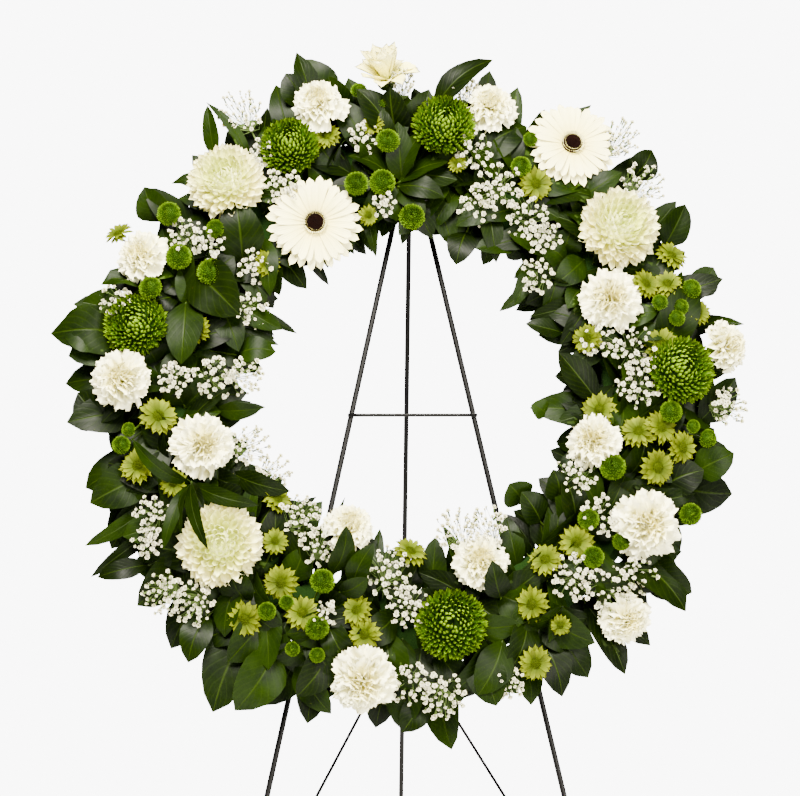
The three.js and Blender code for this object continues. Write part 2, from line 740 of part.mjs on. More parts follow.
function addBloom(name, colour, [x, y, across, out], headOf, { base = 0, depth, tilt = 1 }) {
  const radius = across / 2;
  const direction = facing(x, y, tilt);
  const origin = vector(x, y, matHeight(x, y) + out);
  const place = placement(origin, direction, x);
  const foot = nearestFoot(x, y);
  const stemTop = origin.clone().addScaledVector(direction, base + 5);
  const knee = vector(foot.x, foot.y, FOAM_FRONT + 7);
  const points = [vector(foot.x, foot.y, FOAM_FRONT - HOLE_DEPTH + 3), knee, stemTop];
  const stem = stemSolid(points, BLOOM_STEM_RADIUS, 5);
  const solid = oneBody(stem.add(moved(headOf(radius), place)));
  foamStems.push({ ...foot, radius: BLOOM_STEM_RADIUS });
  addCapsule(points[0], knee, BLOOM_STEM_RADIUS, name);
  addCapsule(knee, stemTop, BLOOM_STEM_RADIUS, name);
  const middle = base + depth * 0.5;
  for (let i = 0; i < 8; i += 1) {
    const angle = (i * Math.PI) / 4;
    const spoke = vector(Math.cos(angle), Math.sin(angle), 0).multiplyScalar(radius - 3);
    const rim = spoke.setZ(middle).applyMatrix4(place);
    addCapsule(vector(0, 0, middle).applyMatrix4(place), rim, depth * 0.36, name);
  }
  keepOuts.push(moved(headEnvelope(radius, base - 1, depth), place));
  keepOuts.push(stemSolid(points, BLOOM_STEM_RADIUS + 0.7, 5));
  blooms.push({ name, colour, solid });
}

const bloomRandom = randomStream(SEED);

function addBlooms(kind, colour, rows, headOf, size, tiltOf = () => 1) {
  rows.forEach((row, index) => {
    const name = `${kind}_${String(index + 1).padStart(2, '0')}`;
    addBloom(name, colour, row, (radius) => headOf(radius, bloomRandom), { ...size, tilt: tiltOf(row) });
  });
}

const outermostTilt = ([x, y]) => (Math.hypot(x, y) > 360 ? 1.5 : 1);
addBlooms('gerbera', 'cream', GERBERAS, gerberaHead, { depth: 12 });
addBlooms('football_mum', 'cream', FOOTBALL_MUMS, footballHead, { depth: 30 });
addBlooms('spider_mum', 'green', SPIDER_MUMS, spiderHead, { depth: 24 });
addBlooms('carnation', 'white', CARNATIONS, carnationHead, { base: -8, depth: 41 }, outermostTilt);
addBloom('top_flower', 'cream', TOP_FLOWER, (radius) => topHead(radius, bloomRandom),
  { depth: 48, tilt: 1.4 });

// Sprays

const sprays = [];

function headPlace(x, y, out) {
  return placement(vector(x, y, matHeight(x, y) + out), facing(x, y), x + y);
}

// The shortest clear path from one of a spray's forks to the underside of a head
function clearWay(forks, place, radius, owner) {
  const base = vector(0, 0, 1.5).applyMatrix4(place);
  let best = null;
  forks.forEach((from) => {
    for (const height of BEND_HEIGHTS) {
      for (const turnBy of BEND_TURNS) {
        for (const share of BEND_SHARES) {
          const way = from.clone().lerp(base, share).setZ(FOAM_FRONT + height);
          way.applyAxisAngle(Z_AXIS, turnBy / way.length());
          const points = [from, way, base];
          const length = from.distanceTo(way) + way.distanceTo(base);
          if ((!best || length < best.length) && clearPath(points, radius, owner)) {
            best = { points, length };
          }
        }
      }
    }
  });
  return best;
}

// The foot in the foam from which the most heads can be reached
function findFork(heads, owner) {
  const middle = vector(0, 0, 0);
  heads.forEach(({ foot }) => middle.add(vector(foot.x, foot.y, 0)));
  const angle = Math.atan2(middle.y, middle.x);
  let best = null;
  for (const offset of FORK_TURNS) {
    for (const radius of FORK_RINGS) {
      const low = polar(radius, angle + offset * DEGREE, FOAM_FRONT - HOLE_DEPTH + 3);
      const top = low.clone().setZ(FOAM_FRONT + 4);
      if (clearOfCapsules(low, top, FORK_RADIUS, owner)) {
        const ways = heads.map((head) => clearWay([top], head.place, SPRAY_STEM_RADIUS, owner));
        const reached = ways.filter(Boolean);
        const length = reached.reduce((sum, way) => sum + way.length, 0);
        const score = reached.length * 10000 - length;
        if (!best || score > best.score) {
          best = { score, low, top };
        }
      }
    }
  }
  return best;
}

// Branches reach the nearest heads first, and a later one may start from an earlier one's bend
function growSpray(name, colour, heads) {
  const fork = findFork(heads, name);
  const top = fork.top.clone().setZ(fork.top.z + 1);
  const pieces = [stemSolid([fork.low, top], FORK_RADIUS, 5)];
  foamStems.push({ x: fork.low.x, y: fork.low.y, radius: FORK_RADIUS });
  addCapsule(fork.low, fork.top, FORK_RADIUS, name);
  keepOuts.push(stemSolid([fork.low, top], FORK_RADIUS + 0.7, 5));
  const forks = [fork.top];
  const order = [...heads].sort((a, b) => distanceTo(a, fork.top) - distanceTo(b, fork.top));
  order.forEach((head) => {
    const way = clearWay(forks, head.place, SPRAY_STEM_RADIUS, name);
    if (!way) {
      throw new Error(`${name} has no clear way to the head at ${head.at}`);
    }
    forks.push(way.points[1]);
    const back = head.place.clone().invert();
    const path = [...way.points].reverse().map((point) => point.clone().applyMatrix4(back));
    const grown = head.build(head.radius, stemRings(path, SPRAY_STEM_RADIUS));
    pieces.push(moved(grown, head.place));
    keepOuts.push(stemSolid(way.points, SPRAY_STEM_RADIUS + 1.1, 4), head.envelope);
    way.points.slice(1).forEach((point, k) => {
      addCapsule(way.points[k], point, SPRAY_STEM_RADIUS, name);
    });
  });
  sprays.push({ name, colour, solid: oneBody(union(pieces), SHORT_EDGE) });
}

function distanceTo(head, point) {
  return new THREE.Vector3().setFromMatrixPosition(head.place).distanceTo(point);
}

// A head that a spray can reach, with what it keeps other things out of
function sprayHead(name, [x, y, across], out, depth, build) {
  const radius = across / 2;
  const place = headPlace(x, y, out);
  for (let i = 0; i < 3; i += 1) {
    const rim = polar(radius * 0.7, (i * Math.PI) / 3, depth * 0.5).applyMatrix4(place);
    const far = polar(-radius * 0.7, (i * Math.PI) / 3, depth * 0.5).applyMatrix4(place);
    addCapsule(rim, far, Math.min(radius * 0.3, depth * 0.5), name);
  }
  const room = turned([[0, -1], [radius + 1, depth * 0.25], [radius + 1, depth + 2], [0, depth + 2]],
    6);
  return { at: [x, y], place, foot: nearestFoot(x, y), build, radius, envelope: moved(room, place) };
}

const breathRandom = randomStream(SEED + 1);

// Ribs cross the foam's front first, so that every spray grows round them
const sectorAngle = (2 * Math.PI) / SECTORS;
const ribs = [];
function placeRibs() {
  for (let i = 0; i < SECTORS; i += 1) {
    const from = i * sectorAngle;
    const angles = ribAngles(from, from + sectorAngle, `rib_${i}`);
    const own = angles.map((angle) => ribPoints(angle));
    own.forEach((points) => points.slice(1).forEach((point, k) => {
      addCapsule(points[k], point, RIB_RADIUS, `rib_${i}`);
    }));
    ribs.push({ from, own });
  }
}

function growSprays() {
  const kinds = [
    ['daisy_spray', 'lime', DAISY_SPRAYS, 4, 6, daisyHead],
    ['button_spray', 'button', BUTTON_SPRAYS, 0, 22, buttonHead],
    ['babys_breath', 'breath', BREATH_SPRAYS.map((rows) => rows.map(([x, y, r]) => [x, y, 2 * r])),
      -6, 24, (radius, stem) => breathHead(radius, stem, breathRandom)],
  ];
  const waiting = kinds.flatMap(([kind, colour, lists, out, depth, build]) => (
    lists.map((rows, i) => {
      const name = `${kind}_${i + 1}`;
      return [name, colour, rows.map((row) => sprayHead(name, row, out, depth, build))];
    })));
  waiting.forEach(([name, colour, heads]) => growSpray(name, colour, heads));
}

// Foliage

// A leaf as a chain of flat diamonds from its root to its tip, folded along the rib and arched
function leafBlade(root, tip, width, { arch = 0.12, fold = 0.14, stations = LONG_LEAF } = {}) {
  const along = tip.clone().sub(root);
  const length = along.length();
  const out = root.clone().setZ(0).normalize().multiplyScalar(0.4).add(Z_AXIS).normalize();
  const side = along.clone().cross(out).normalize();
  const up = side.clone().cross(along).normalize();
  const points = [];
  const faces = [];
  stations.forEach(([t, share], i) => {
    const middle = root.clone().addScaledVector(along, t)
      .addScaledVector(up, arch * length * 4 * t * (1 - t));
    const half = Math.max(share * width * 0.5, PETIOLE_HALF);
    const edgeLift = share > 0 ? fold * half : 0;
    const thick = LEAF_THICKNESS / 2;
    points.push(middle.clone().addScaledVector(side, half).addScaledVector(up, edgeLift));
    points.push(middle.clone().addScaledVector(up, thick));
    points.push(middle.clone().addScaledVector(side, -half).addScaledVector(up, edgeLift));
    points.push(middle.clone().addScaledVector(up, -thick));
    if (i > 0) {
      const [p, q] = [(i - 1) * 4, i * 4];
      faces.push([p, q + 1, q], [p, p + 1, q + 1], [p + 2, q + 2, q + 1], [p + 2, q + 1, p + 1]);
      faces.push([p, q, q + 3], [p, q + 3, p + 3], [p + 2, q + 3, q + 2], [p + 2, p + 3, q + 3]);
    }
  });
  const last = (stations.length - 1) * 4;
  const end = points.length;
  points.push(tip);
  faces.push([last, last + 1, end], [last + 1, last + 2, end]);
  faces.push([last + 2, last + 3, end], [last + 3, last, end]);
  faces.push([0, 3, 1], [1, 3, 2]);
  const solid = solidFromFaces(points, faces);
  return solid.volume() > 0 ? solid : solidFromFaces(points, faces.map(([a, b, c]) => [a, c, b]));
}

function bandSolid(radius, from, to) {
  const steps = RING_SIDES / SECTORS;
  const corners = [];
  for (let i = 0; i <= steps; i += 1) {
    corners.push(polar(radius + BAND_THICKNESS / 2, from + ((to - from) * i) / steps, 0));
  }
  for (let i = steps; i >= 0; i -= 1) {
    corners.push(polar(radius - BAND_THICKNESS / 2, from + ((to - from) * i) / steps, 0));
  }
  const shape = new THREE.Shape(corners.map((p) => new THREE.Vector2(p.x, p.y)));
  const geometry = new THREE.ExtrudeGeometry(shape, {
    depth: BAND_FRONT - BAND_BACK, bevelEnabled: false, steps: 1,
  });
  geometry.translate(0, 0, BAND_BACK);
  return solidOf(geometry);
}

function ribPoints(angle) {
  return [
    polar(OUTER_BAND, angle, BAND_FRONT - 6), polar(OUTER_BAND - 6, angle, RIB_Z),
    polar(INNER_BAND + 6, angle, RIB_Z), polar(INNER_BAND, angle, BAND_FRONT - 6),
  ];
}

// The two angles in a sector whose ribs pass furthest from the stems
function ribAngles(from, to, owner) {
  const choices = [];
  for (let angle = from + 3 * DEGREE; angle < to - 3 * DEGREE; angle += DEGREE) {
    const points = ribPoints(angle);
    if (clearOfCapsules(points[1], points[2], RIB_RADIUS, owner)) {
      choices.push(angle);
    }
  }
  return [choices[0], choices[choices.length - 1]];
}

function bandPoint(radius, angle, z) {
  const step = (2 * Math.PI) / RING_SIDES;
  const within = (((angle % step) + step) % step) - step / 2;
  return polar((radius * Math.cos(step / 2)) / Math.cos(within), angle, z);
}

// How many stems and heads a leaf would run into
function leafHits(root, tip, width) {
  const along = tip.clone().sub(root);
  const side = along.clone().cross(Z_AXIS).setLength(width * 0.36);
  const lift = vector(0, 0, along.length() * 0.1);
  const middle = root.clone().lerp(tip, 0.45).add(lift);
  const lines = [
    [root.clone().lerp(middle, 0.1), middle], [middle, tip],
    [root.clone().lerp(middle, 0.3), middle.clone().add(side)],
    [root.clone().lerp(middle, 0.3), middle.clone().sub(side)],
    [middle.clone().add(side), tip], [middle.clone().sub(side), tip],
  ];
  let hits = 0;
  lines.forEach(([start, end]) => {
    const line = new THREE.Line3(start, end);
    capsules.forEach((item) => {
      const needed = item.radius + 1.6;
      hits += line.distanceSqToLine3(item.line) < needed * needed ? 1 : 0;
    });
  });
  return hits;
}

function clearestLeaf(tries, make) {
  let best = null;
  for (let i = 0; i < tries; i += 1) {
    const leaf = make(i);
    const hits = leafHits(leaf.root, leaf.tip, leaf.width);
    if (!best || hits < best.hits) {
      best = { ...leaf, hits };
    }
  }
  return best;
}

// Every leaf as its root, tip and width
function leafRows() {
  const random = randomStream(SEED + 2);
  const edgeLeaf = ([x, y, width], band, index) => clearestLeaf(14, (attempt) => {
    const angle = Math.atan2(y, x);
    const lean = (random() - 0.5) * 6 * DEGREE;
    const high = (index + (attempt > 8 ? 1 : 0)) % 2 === 0;
    const root = bandPoint(band, angle + lean, high ? BAND_FRONT - 4 : BAND_BACK + 14);
    const tipZ = high ? 50 + random() * 20 : 26 + random() * 16;
    return { root, tip: vector(x, y, tipZ), width, long: width > LONG_LEAF_WIDTH };
  });
  const leaves = [
    ...OUTER_LEAVES.map((row, index) => edgeLeaf(row, OUTER_BAND, index)),
    ...INNER_LEAVES.map((row, index) => edgeLeaf(row, INNER_BAND, index)),
  ];
  for (let i = 0; i < FRONT_LEAVES; i += 1) {
    leaves.push(clearestLeaf(40, () => {
      const angle = ((i + random()) / FRONT_LEAVES) * 2 * Math.PI;
      const outward = i % 3 !== 0;
      const root = bandPoint(outward ? OUTER_BAND : INNER_BAND, angle, BAND_FRONT - 4);
      const reach = 34 + random() * 26;
      const end = outward ? OUTER_BAND - reach : INNER_BAND + reach * 0.8;
      const tip = polar(end, angle + (random() - 0.5) * 14 * DEGREE, 68 + random() * 26);
      return { root, tip, width: 20 + random() * 12, long: false };
    }));
  }
  return leaves.filter((leaf) => leaf.hits < MOST_HITS);
}

function wedge(from, to) {
  const middle = (from + to) / 2;
  const reach = 700;
  const inset = polar(0.2 / Math.sin((to - from) / 2), middle, 0);
  const corners = [inset, polar(reach, from, 0).add(inset), polar(reach * 1.3, middle, 0).add(inset),
    polar(reach, to, 0).add(inset)];
  const shape = new THREE.Shape(corners.map((p) => new THREE.Vector2(p.x, p.y)));
  const geometry = new THREE.ExtrudeGeometry(shape, { depth: 300, bevelEnabled: false, steps: 1 });
  geometry.translate(0, 0, -60);
  return solidOf(geometry);
}

function foliageSector(index, leaves, clearance) {
  const { from, own } = ribs[index];
  const to = from + sectorAngle;
  const turn = (point) => (Math.atan2(point.y, point.x) + 2 * Math.PI) % (2 * Math.PI);
  const blades = leaves.filter(({ root }) => turn(root) >= from && turn(root) < to)
    .map(({ root, tip, width, long }) => leafBlade(root, tip, width, {
      stations: long ? LONG_LEAF : SHORT_LEAF,
    }));
  const pegAt = own[0][1].clone().lerp(own[0][2], 0.5);
  const peg = stemSolid([pegAt.clone().setZ(FOAM_FRONT - HOLE_DEPTH + 3), pegAt], RIB_RADIUS, 4);
  foamStems.push({ x: pegAt.x, y: pegAt.y, radius: RIB_RADIUS });
  const frame = [bandSolid(OUTER_BAND, from, to), bandSolid(INNER_BAND, from, to),
    ...own.map((points) => stemSolid(points, RIB_RADIUS, 4))];
  const grown = union([...frame, ...blades]).subtract(foamBody(BAND_CLEARANCE * 0.5)).add(peg);
  return oneBody(grown.intersect(wedge(from, to)).subtract(clearance), SHORT_EDGE);
}

const hookY = APEX_ABOVE_RING - HOOK_DROP;
const hookHalf = LEG_SPREAD * HOOK_DROP;
for (const x of [-1, 0, 1]) {
  const side = EASEL_SHIFT + x * hookHalf;
  addCapsule(vector(side, hookY, 5), vector(side, hookY, HOOK_FRONT), HOOK_RADIUS + 4, 'wreath_hook');
}
addCapsule(
  vector(EASEL_SHIFT - hookHalf, hookY + HOOK_RISE, HOOK_FRONT),
  vector(EASEL_SHIFT + hookHalf, hookY + HOOK_RISE, HOOK_FRONT), HOOK_RADIUS + 1, 'wreath_hook');
placeRibs();
growSprays();
const leaves = leafRows();
const HOOK_ROOM = 24;
const hookRoom = block(
  vector(EASEL_SHIFT - HOOK_ROOM, RING_INNER - 16, -5),
  vector(EASEL_SHIFT + HOOK_ROOM, RING_INNER + 0.5, FOAM_FRONT + 20));
const clearance = union([...keepOuts, hookRoom]);
const foliage = [];
for (let i = 0; i < SECTORS; i += 1) {
  foliage.push(meshOf(`foliage_${i + 1}`, foliageSector(i, leaves, clearance), 'leaf'));
}

const wreath = new THREE.Group();
wreath.applyMatrix4(faceMatrix);
wreath.add(meshOf('foam_ring', foamRing(foamStems), 'foam'));
wreath.add(meshOf('ring_backing', ringPlate(), 'backing'));
blooms.forEach(({ name, colour, solid }) => wreath.add(meshOf(name, solid, colour)));
sprays.forEach(({ name, colour, solid }) => wreath.add(meshOf(name, solid, colour)));
wreath.add(...foliage);

const easel = new THREE.Group();
easel.position.x = EASEL_SHIFT;
easel.add(meshOf('left_front_leg', frontLeg(-1), 'wire'));
easel.add(meshOf('right_front_leg', frontLeg(1), 'wire'));
easel.add(meshOf('crossbar', crossbar(), 'wire'));
easel.add(meshOf('pivot_bar', pivotBar(), 'wire'));
easel.add(meshOf('wreath_hook', wreathHook(), 'wire'));
easel.add(meshOf('back_leg', backLeg(), 'wire'));
easel.add(meshOf('left_stay_eye', stayEye(-1), 'wire'));
easel.add(meshOf('right_stay_eye', stayEye(1), 'wire'));
easel.add(meshOf('stay', stay(), 'wire'));

// The origin is under the middle of the whole object, at the height of its feet
const whole = new THREE.Group();
whole.add(wreath, easel);
whole.updateMatrixWorld(true);
const extent = new THREE.Box3().setFromObject(whole, true);
const middle = extent.getCenter(new THREE.Vector3());
whole.position.set(-middle.x, -middle.y, -extent.min.z);

export default whole;
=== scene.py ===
# A funeral wreath of leaves and white and green flowers, hung on a folding wire easel.
# The wreath has a frame of its own, in millimetres: x to the viewer's right, y up the legs and
# z out to the front, with its origin at the middle of the ring. Blender's lengths are in metres.
import math

import bpy
import numpy as np
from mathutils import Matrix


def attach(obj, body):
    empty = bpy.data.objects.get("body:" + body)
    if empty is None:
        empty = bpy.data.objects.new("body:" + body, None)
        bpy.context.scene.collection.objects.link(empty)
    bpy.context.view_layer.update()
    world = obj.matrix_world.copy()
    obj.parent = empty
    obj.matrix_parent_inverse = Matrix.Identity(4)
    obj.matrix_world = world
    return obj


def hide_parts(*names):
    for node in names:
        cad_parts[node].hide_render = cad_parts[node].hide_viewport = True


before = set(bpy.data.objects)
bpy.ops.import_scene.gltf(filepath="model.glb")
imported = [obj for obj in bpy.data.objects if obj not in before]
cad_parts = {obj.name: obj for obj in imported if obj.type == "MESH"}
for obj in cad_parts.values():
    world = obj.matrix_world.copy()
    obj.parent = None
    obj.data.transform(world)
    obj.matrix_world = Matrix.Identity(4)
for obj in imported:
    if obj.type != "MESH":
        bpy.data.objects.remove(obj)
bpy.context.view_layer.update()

WREATH = "wreath_and_front_frame"
GOLDEN = math.radians(137.508)
TURN = 2 * math.pi
UP = np.array([0.0, 0.0, 1.0])

# The lean of the legs, the place of the ring's middle and the height of the legs' meeting above it
LEAN = math.radians(10)
RING_Y = -125.337
RING_Z = 1032.079
APEX = 304

# The foam ring, and the mat of leaves and flowers on it, which is lower towards both edges
RING_INNER = 229
RING_OUTER = 305
RING_MIDDLE = (RING_INNER + RING_OUTER) / 2
FOAM_FRONT = 57.7
MAT_TOP = 82
MAT_CURVE = 0.0021
MAT_HALF_WIDTH = 110
MAT_SLOPE = math.radians(38)

# The photograph's pixel at the ring's middle and its scale in millimetres a pixel
PHOTO_MIDDLE = (407, 392)
PHOTO_SCALE = (1.13, 1.147)
PHOTO_SIZE = (800, 796)

# The camera: its focal length in pixels, its distance in metres, its turn round the wreath and
# the height above the leg plane at which it looks
FOCAL_PIXELS = 2655
CAMERA_DISTANCE = 3.0
CAMERA_TURN = math.radians(-2.8)
CAMERA_AIM = 80

# The share of the mat's slope that a bloom takes: the widest blooms, those out at the edge, others
WIDE_BLOOM = 95
WIDE_TILT = 0.4
EDGE_BLOOM = 360
EDGE_TILT = 1.5
BLOOM_TILT = 0.9

# How far stems stand from the ring's edges, how deep they go in, and their radii
FOOT_INSET = 14
STEM_DEPTH = 12
STEM_RADIUS = 2.0
BRANCH_RADIUS = 1.1
STALK_RADIUS = 1.1

# Where each bloom faces the viewer: x, y and diameter, and how far it stands out of the mat
GERBERAS = [[-104, 196, 98, 2], [193, 291, 96, 4]]
FOOTBALL_MUMS = [[-203, 241, 86, 0], [243, 189, 92, 0], [-210, -174, 92, 0]]
SPIDER_MUMS = [
    [-131, 282, 64, -6], [44, 306, 68, 0], [-303, 75, 68, -6], [308, 23, 72, 0], [46, -264, 74, 0],
]
CARNATIONS = [
    [-97, 331, 62, 12], [98, 331, 62, 0], [-297, 154, 62, 0], [-318, 13, 70, 4],
    [-231, -63, 72, 0], [233, 106, 72, 0], [360, 55, 60, -3], [212, -58, 62, 0],
    [266, -151, 80, 0], [242, -253, 60, -10], [82, -196, 64, 0], [-67, -156, 60, -4],
    [-51, -321, 76, 0],
]
TOP_FLOWER = [-19, 364, 74, -2]

# Small heads: x, y and diameter
BUTTONS = [
    [-268, 205, 28], [-258, 153, 30], [-221, 134, 32], [-288, 117, 27], [-216, 186, 22],
    [-56, 239, 28], [-27, 241, 30], [-20, 289, 28], [-52, 352, 20], [-26, 336, 16],
    [7, 204, 30], [132, 260, 24], [144, 294, 18], [325, 119, 24], [288, 101, 20],
    [312, 97, 20], [307, 84, 20], [297, -25, 26], [231, -88, 30], [318, -139, 26],
    [201, -147, 25], [238, -171, 21], [206, -189, 25], [339, -53, 22], [323, -40, 16],
    [-320, -61, 21], [-311, -44, 17], [-97, -216, 28], [-103, -266, 27], [-158, -248, 21],
    [-136, -239, 17], [-129, -289, 17], [-103, -296, 18],
]
DAISIES = [
    [-327, 186, 36], [-89, 297, 34], [-37, 311, 30], [-159, 147, 36], [-43, 205, 26],
    [60, 264, 24], [-235, 71, 34], [-280, -29, 46], [-302, -85, 43], [-262, -104, 34],
    [-147, -122, 38], [-149, -170, 32], [-142, -216, 42], [-182, -256, 44], [-119, -250, 42],
    [-58, -248, 38], [-49, -274, 40], [2, -181, 42], [153, -192, 40], [188, -172, 42],
    [138, -241, 42], [169, -264, 26], [140, -306, 42], [218, -21, 42], [261, -47, 42],
    [286, -42, 42], [310, -64, 40], [281, -87, 44], [149, 241, 42], [305, 159, 40],
    [273, 124, 38], [299, 125, 38], [333, 94, 36], [289, 54, 42], [206, 61, 38],
]
# Clouds of tiny white flowers: x, y and radius
BREATH = [
    [-189, 329, 24], [-164, 278, 14], [-141, 236, 20], [-251, 177, 20], [-223, 169, 18],
    [-330, 106, 18], [-172, 143, 17], [-175, 94, 18], [-262, 14, 18], [-217, 16, 22],
    [-183, 19, 20], [-285, -141, 20], [-290, -170, 16], [-273, -227, 22], [-240, -239, 22],
    [-177, -61, 22], [-149, -89, 18], [-121, -141, 22], [-98, -175, 22], [-93, -252, 14],
    [-25, -204, 26], [-2, -244, 22], [54, -156, 22], [88, -153, 22], [3, -330, 22],
    [37, -342, 24], [111, -328, 16], [184, -210, 24], [224, -227, 26], [258, -210, 20],
    [190, -95, 22], [218, -141, 22], [218, 60, 20], [258, 48, 24], [263, 8, 24],
    [77, 278, 22], [105, 237, 26], [82, 214, 20], [139, 203, 24], [156, 180, 20],
    [150, 134, 18], [-47, 295, 16], [71, 358, 14], [-25, 214, 12], [-2, 367, 14],
    [252, 301, 20], [275, 243, 24], [368, -15, 20],
]
# The spray that a small head belongs to goes by its angle round the ring: the first angle of
# each spray's share in degrees, then the spray's number
DAISY_SHARES = [(10, 3), (45, 2), (110, 1), (200, 5), (290, 4)]
BUTTON_SHARES = [(50, 2), (120, 1), (200, 5), (300, 4), (350, 3)]
BREATH_SHARES = [(30, 7), (100, 1), (145.5, 2), (190, 3), (230, 4), (295, 5), (340, 6)]

# Leaf tips round the outer and inner edges: x, y and the leaf's width
OUTER_LEAVES = [
    [-403, 71, 50], [-388, 19, 42], [-383, -32, 42], [-364, -101, 46], [-362, -170, 20],
    [-356, -204, 18], [-302, -239, 44], [-266, -284, 40], [-218, -357, 56], [-164, -349, 40],
    [-113, -370, 34], [-36, -374, 34], [-6, -379, 38], [49, -399, 40], [99, -350, 38],
    [139, -350, 38], [172, -342, 38], [205, -319, 38], [244, -317, 34], [275, -284, 32],
    [312, -248, 46], [374, -111, 52], [371, -67, 34], [382, -9, 22], [403, 39, 20],
    [394, 88, 28], [365, 134, 32], [328, 174, 34], [314, 226, 32], [288, 291, 36],
    [218, 342, 28], [167, 345, 24], [133, 364, 26], [103, 392, 32], [54, 382, 24],
    [14, 372, 24], [-64, 376, 28], [-89, 390, 32], [-124, 401, 36], [-148, 372, 32],
    [-228, 341, 14], [-245, 286, 28], [-298, 240, 32], [-341, 137, 30], [-378, 106, 30],
]
INNER_LEAVES = [
    [-33, 163, 14], [-87, 134, 15], [-113, 125, 28], [-124, 76, 16], [-145, 58, 18],
    [-163, 36, 28], [-160, -15, 18], [-180, -50, 20], [-140, -92, 20], [-102, -112, 16],
    [-70, -117, 16], [-30, -150, 18], [40, -149, 16], [128, -109, 30], [150, -95, 26],
    [166, -60, 24], [141, -15, 34], [173, 26, 26], [152, 69, 30], [110, 103, 18],
    [126, 138, 18], [92, 158, 22], [58, 162, 30], [-2, 182, 16],
]
# Single leaves that show in the photograph, by pixel: root x, y, tip x, y, width, height of the
# root and of the tip above the leg plane, and 1 for a long thin leaf
SEEN_LEAVES = [
    [243, 262, 236, 200, 48, 70, 92, 0], [190, 268, 240, 318, 54, 74, 96, 0],
    [186, 300, 182, 366, 40, 74, 92, 0], [193, 483, 135, 442, 20, 84, 104, 1],
    [193, 483, 166, 550, 18, 84, 106, 1], [193, 483, 184, 535, 17, 84, 112, 1],
    [193, 483, 210, 552, 18, 98, 132, 1], [193, 483, 206, 512, 16, 98, 122, 1],
    [193, 483, 259, 507, 20, 84, 104, 1], [330, 572, 345, 528, 26, 82, 112, 0],
    [352, 586, 372, 545, 24, 82, 110, 0], [338, 590, 366, 578, 22, 82, 106, 0],
    [498, 596, 488, 562, 26, 82, 108, 0], [436, 104, 498, 50, 34, 66, 74, 1],
    [404, 176, 400, 118, 30, 66, 84, 0], [404, 176, 428, 128, 30, 68, 86, 0],
    [396, 150, 384, 104, 26, 66, 84, 0], [400, 178, 450, 160, 28, 72, 90, 0],
    [400, 182, 446, 196, 26, 72, 88, 0], [400, 184, 426, 216, 24, 70, 84, 0],
    [398, 178, 350, 152, 26, 68, 80, 0], [160, 214, 143, 182, 34, 50, 66, 0],
    [214, 150, 206, 96, 20, 50, 60, 1], [304, 96, 286, 62, 34, 50, 60, 0],
    [330, 96, 298, 46, 42, 44, 56, 0], [352, 100, 330, 66, 34, 52, 64, 0],
    [566, 330, 528, 322, 22, 66, 74, 0], [548, 412, 532, 404, 22, 66, 74, 0],
    [600, 400, 560, 352, 36, 66, 78, 0], [556, 250, 512, 232, 26, 66, 80, 0],
    [520, 240, 478, 246, 28, 64, 76, 0], [470, 226, 458, 262, 30, 62, 74, 0],
    [580, 196, 628, 168, 30, 64, 80, 0], [640, 168, 662, 140, 34, 50, 60, 0],
    [672, 240, 694, 198, 36, 56, 66, 0], [700, 290, 722, 262, 32, 56, 62, 0],
    [702, 420, 740, 376, 36, 60, 70, 0], [696, 470, 736, 452, 36, 62, 70, 0],
    [662, 486, 704, 470, 40, 64, 78, 0], [650, 560, 690, 590, 42, 60, 66, 0],
    [556, 500, 552, 470, 34, 66, 84, 0], [524, 500, 508, 484, 34, 66, 84, 0],
    [540, 520, 520, 492, 34, 68, 84, 0], [500, 560, 470, 548, 30, 68, 80, 0],
    [520, 620, 560, 604, 36, 72, 84, 0], [476, 652, 492, 700, 40, 70, 80, 0],
    [500, 636, 474, 690, 38, 72, 84, 0], [420, 690, 400, 724, 30, 50, 60, 0],
    [300, 650, 330, 706, 34, 60, 66, 0], [330, 640, 296, 690, 36, 66, 78, 0],
    [276, 640, 236, 702, 50, 56, 60, 0], [250, 600, 230, 560, 40, 72, 84, 0],
    [210, 610, 190, 656, 32, 60, 70, 0], [150, 560, 100, 572, 24, 56, 60, 1],
    [150, 470, 92, 500, 44, 58, 66, 0], [110, 420, 78, 390, 46, 56, 62, 0],
    [110, 330, 60, 320, 50, 56, 62, 0], [128, 308, 82, 300, 40, 60, 70, 0],
    [120, 344, 68, 352, 40, 50, 56, 0], [240, 300, 282, 328, 24, 62, 72, 0],
    [236, 352, 276, 350, 30, 62, 70, 0], [216, 408, 262, 408, 22, 66, 78, 1],
    [232, 470, 290, 490, 26, 66, 76, 1], [440, 128, 420, 100, 30, 66, 80, 0],
    [394, 130, 358, 84, 38, 58, 84, 0], [402, 132, 392, 84, 38, 60, 92, 0],
    [408, 130, 432, 84, 38, 58, 84, 0],
]

rng = np.random.default_rng(11)


def from_photo(px, py):
    """The place on the wreath's face, in millimetres, of a pixel of the photograph."""
    return (
        (px - PHOTO_MIDDLE[0]) * PHOTO_SCALE[0],
        (PHOTO_MIDDLE[1] - py) * PHOTO_SCALE[1],
    )


def to_world(points):
    """Points of the wreath's frame in the object's frame, still in millimetres."""
    x, y, z = points[..., 0], points[..., 1], points[..., 2]
    sin, cos = math.sin(LEAN), math.cos(LEAN)
    return np.stack([x, RING_Y + sin * y - cos * z, RING_Z + cos * y + sin * z], -1)


def unit(v):
    """The direction of a vector."""
    return v / max(np.linalg.norm(v), 1e-9)


def polar(radius, angle, z):
    """A point of the wreath's frame from its radius and angle."""
    return np.array([radius * math.cos(angle), radius * math.sin(angle), z])


def mat_height(x, y):
    """Height of the mat's front above the leg plane, lower towards both edges."""
    away = math.hypot(x, y) - RING_MIDDLE
    return MAT_TOP - MAT_CURVE * away * away


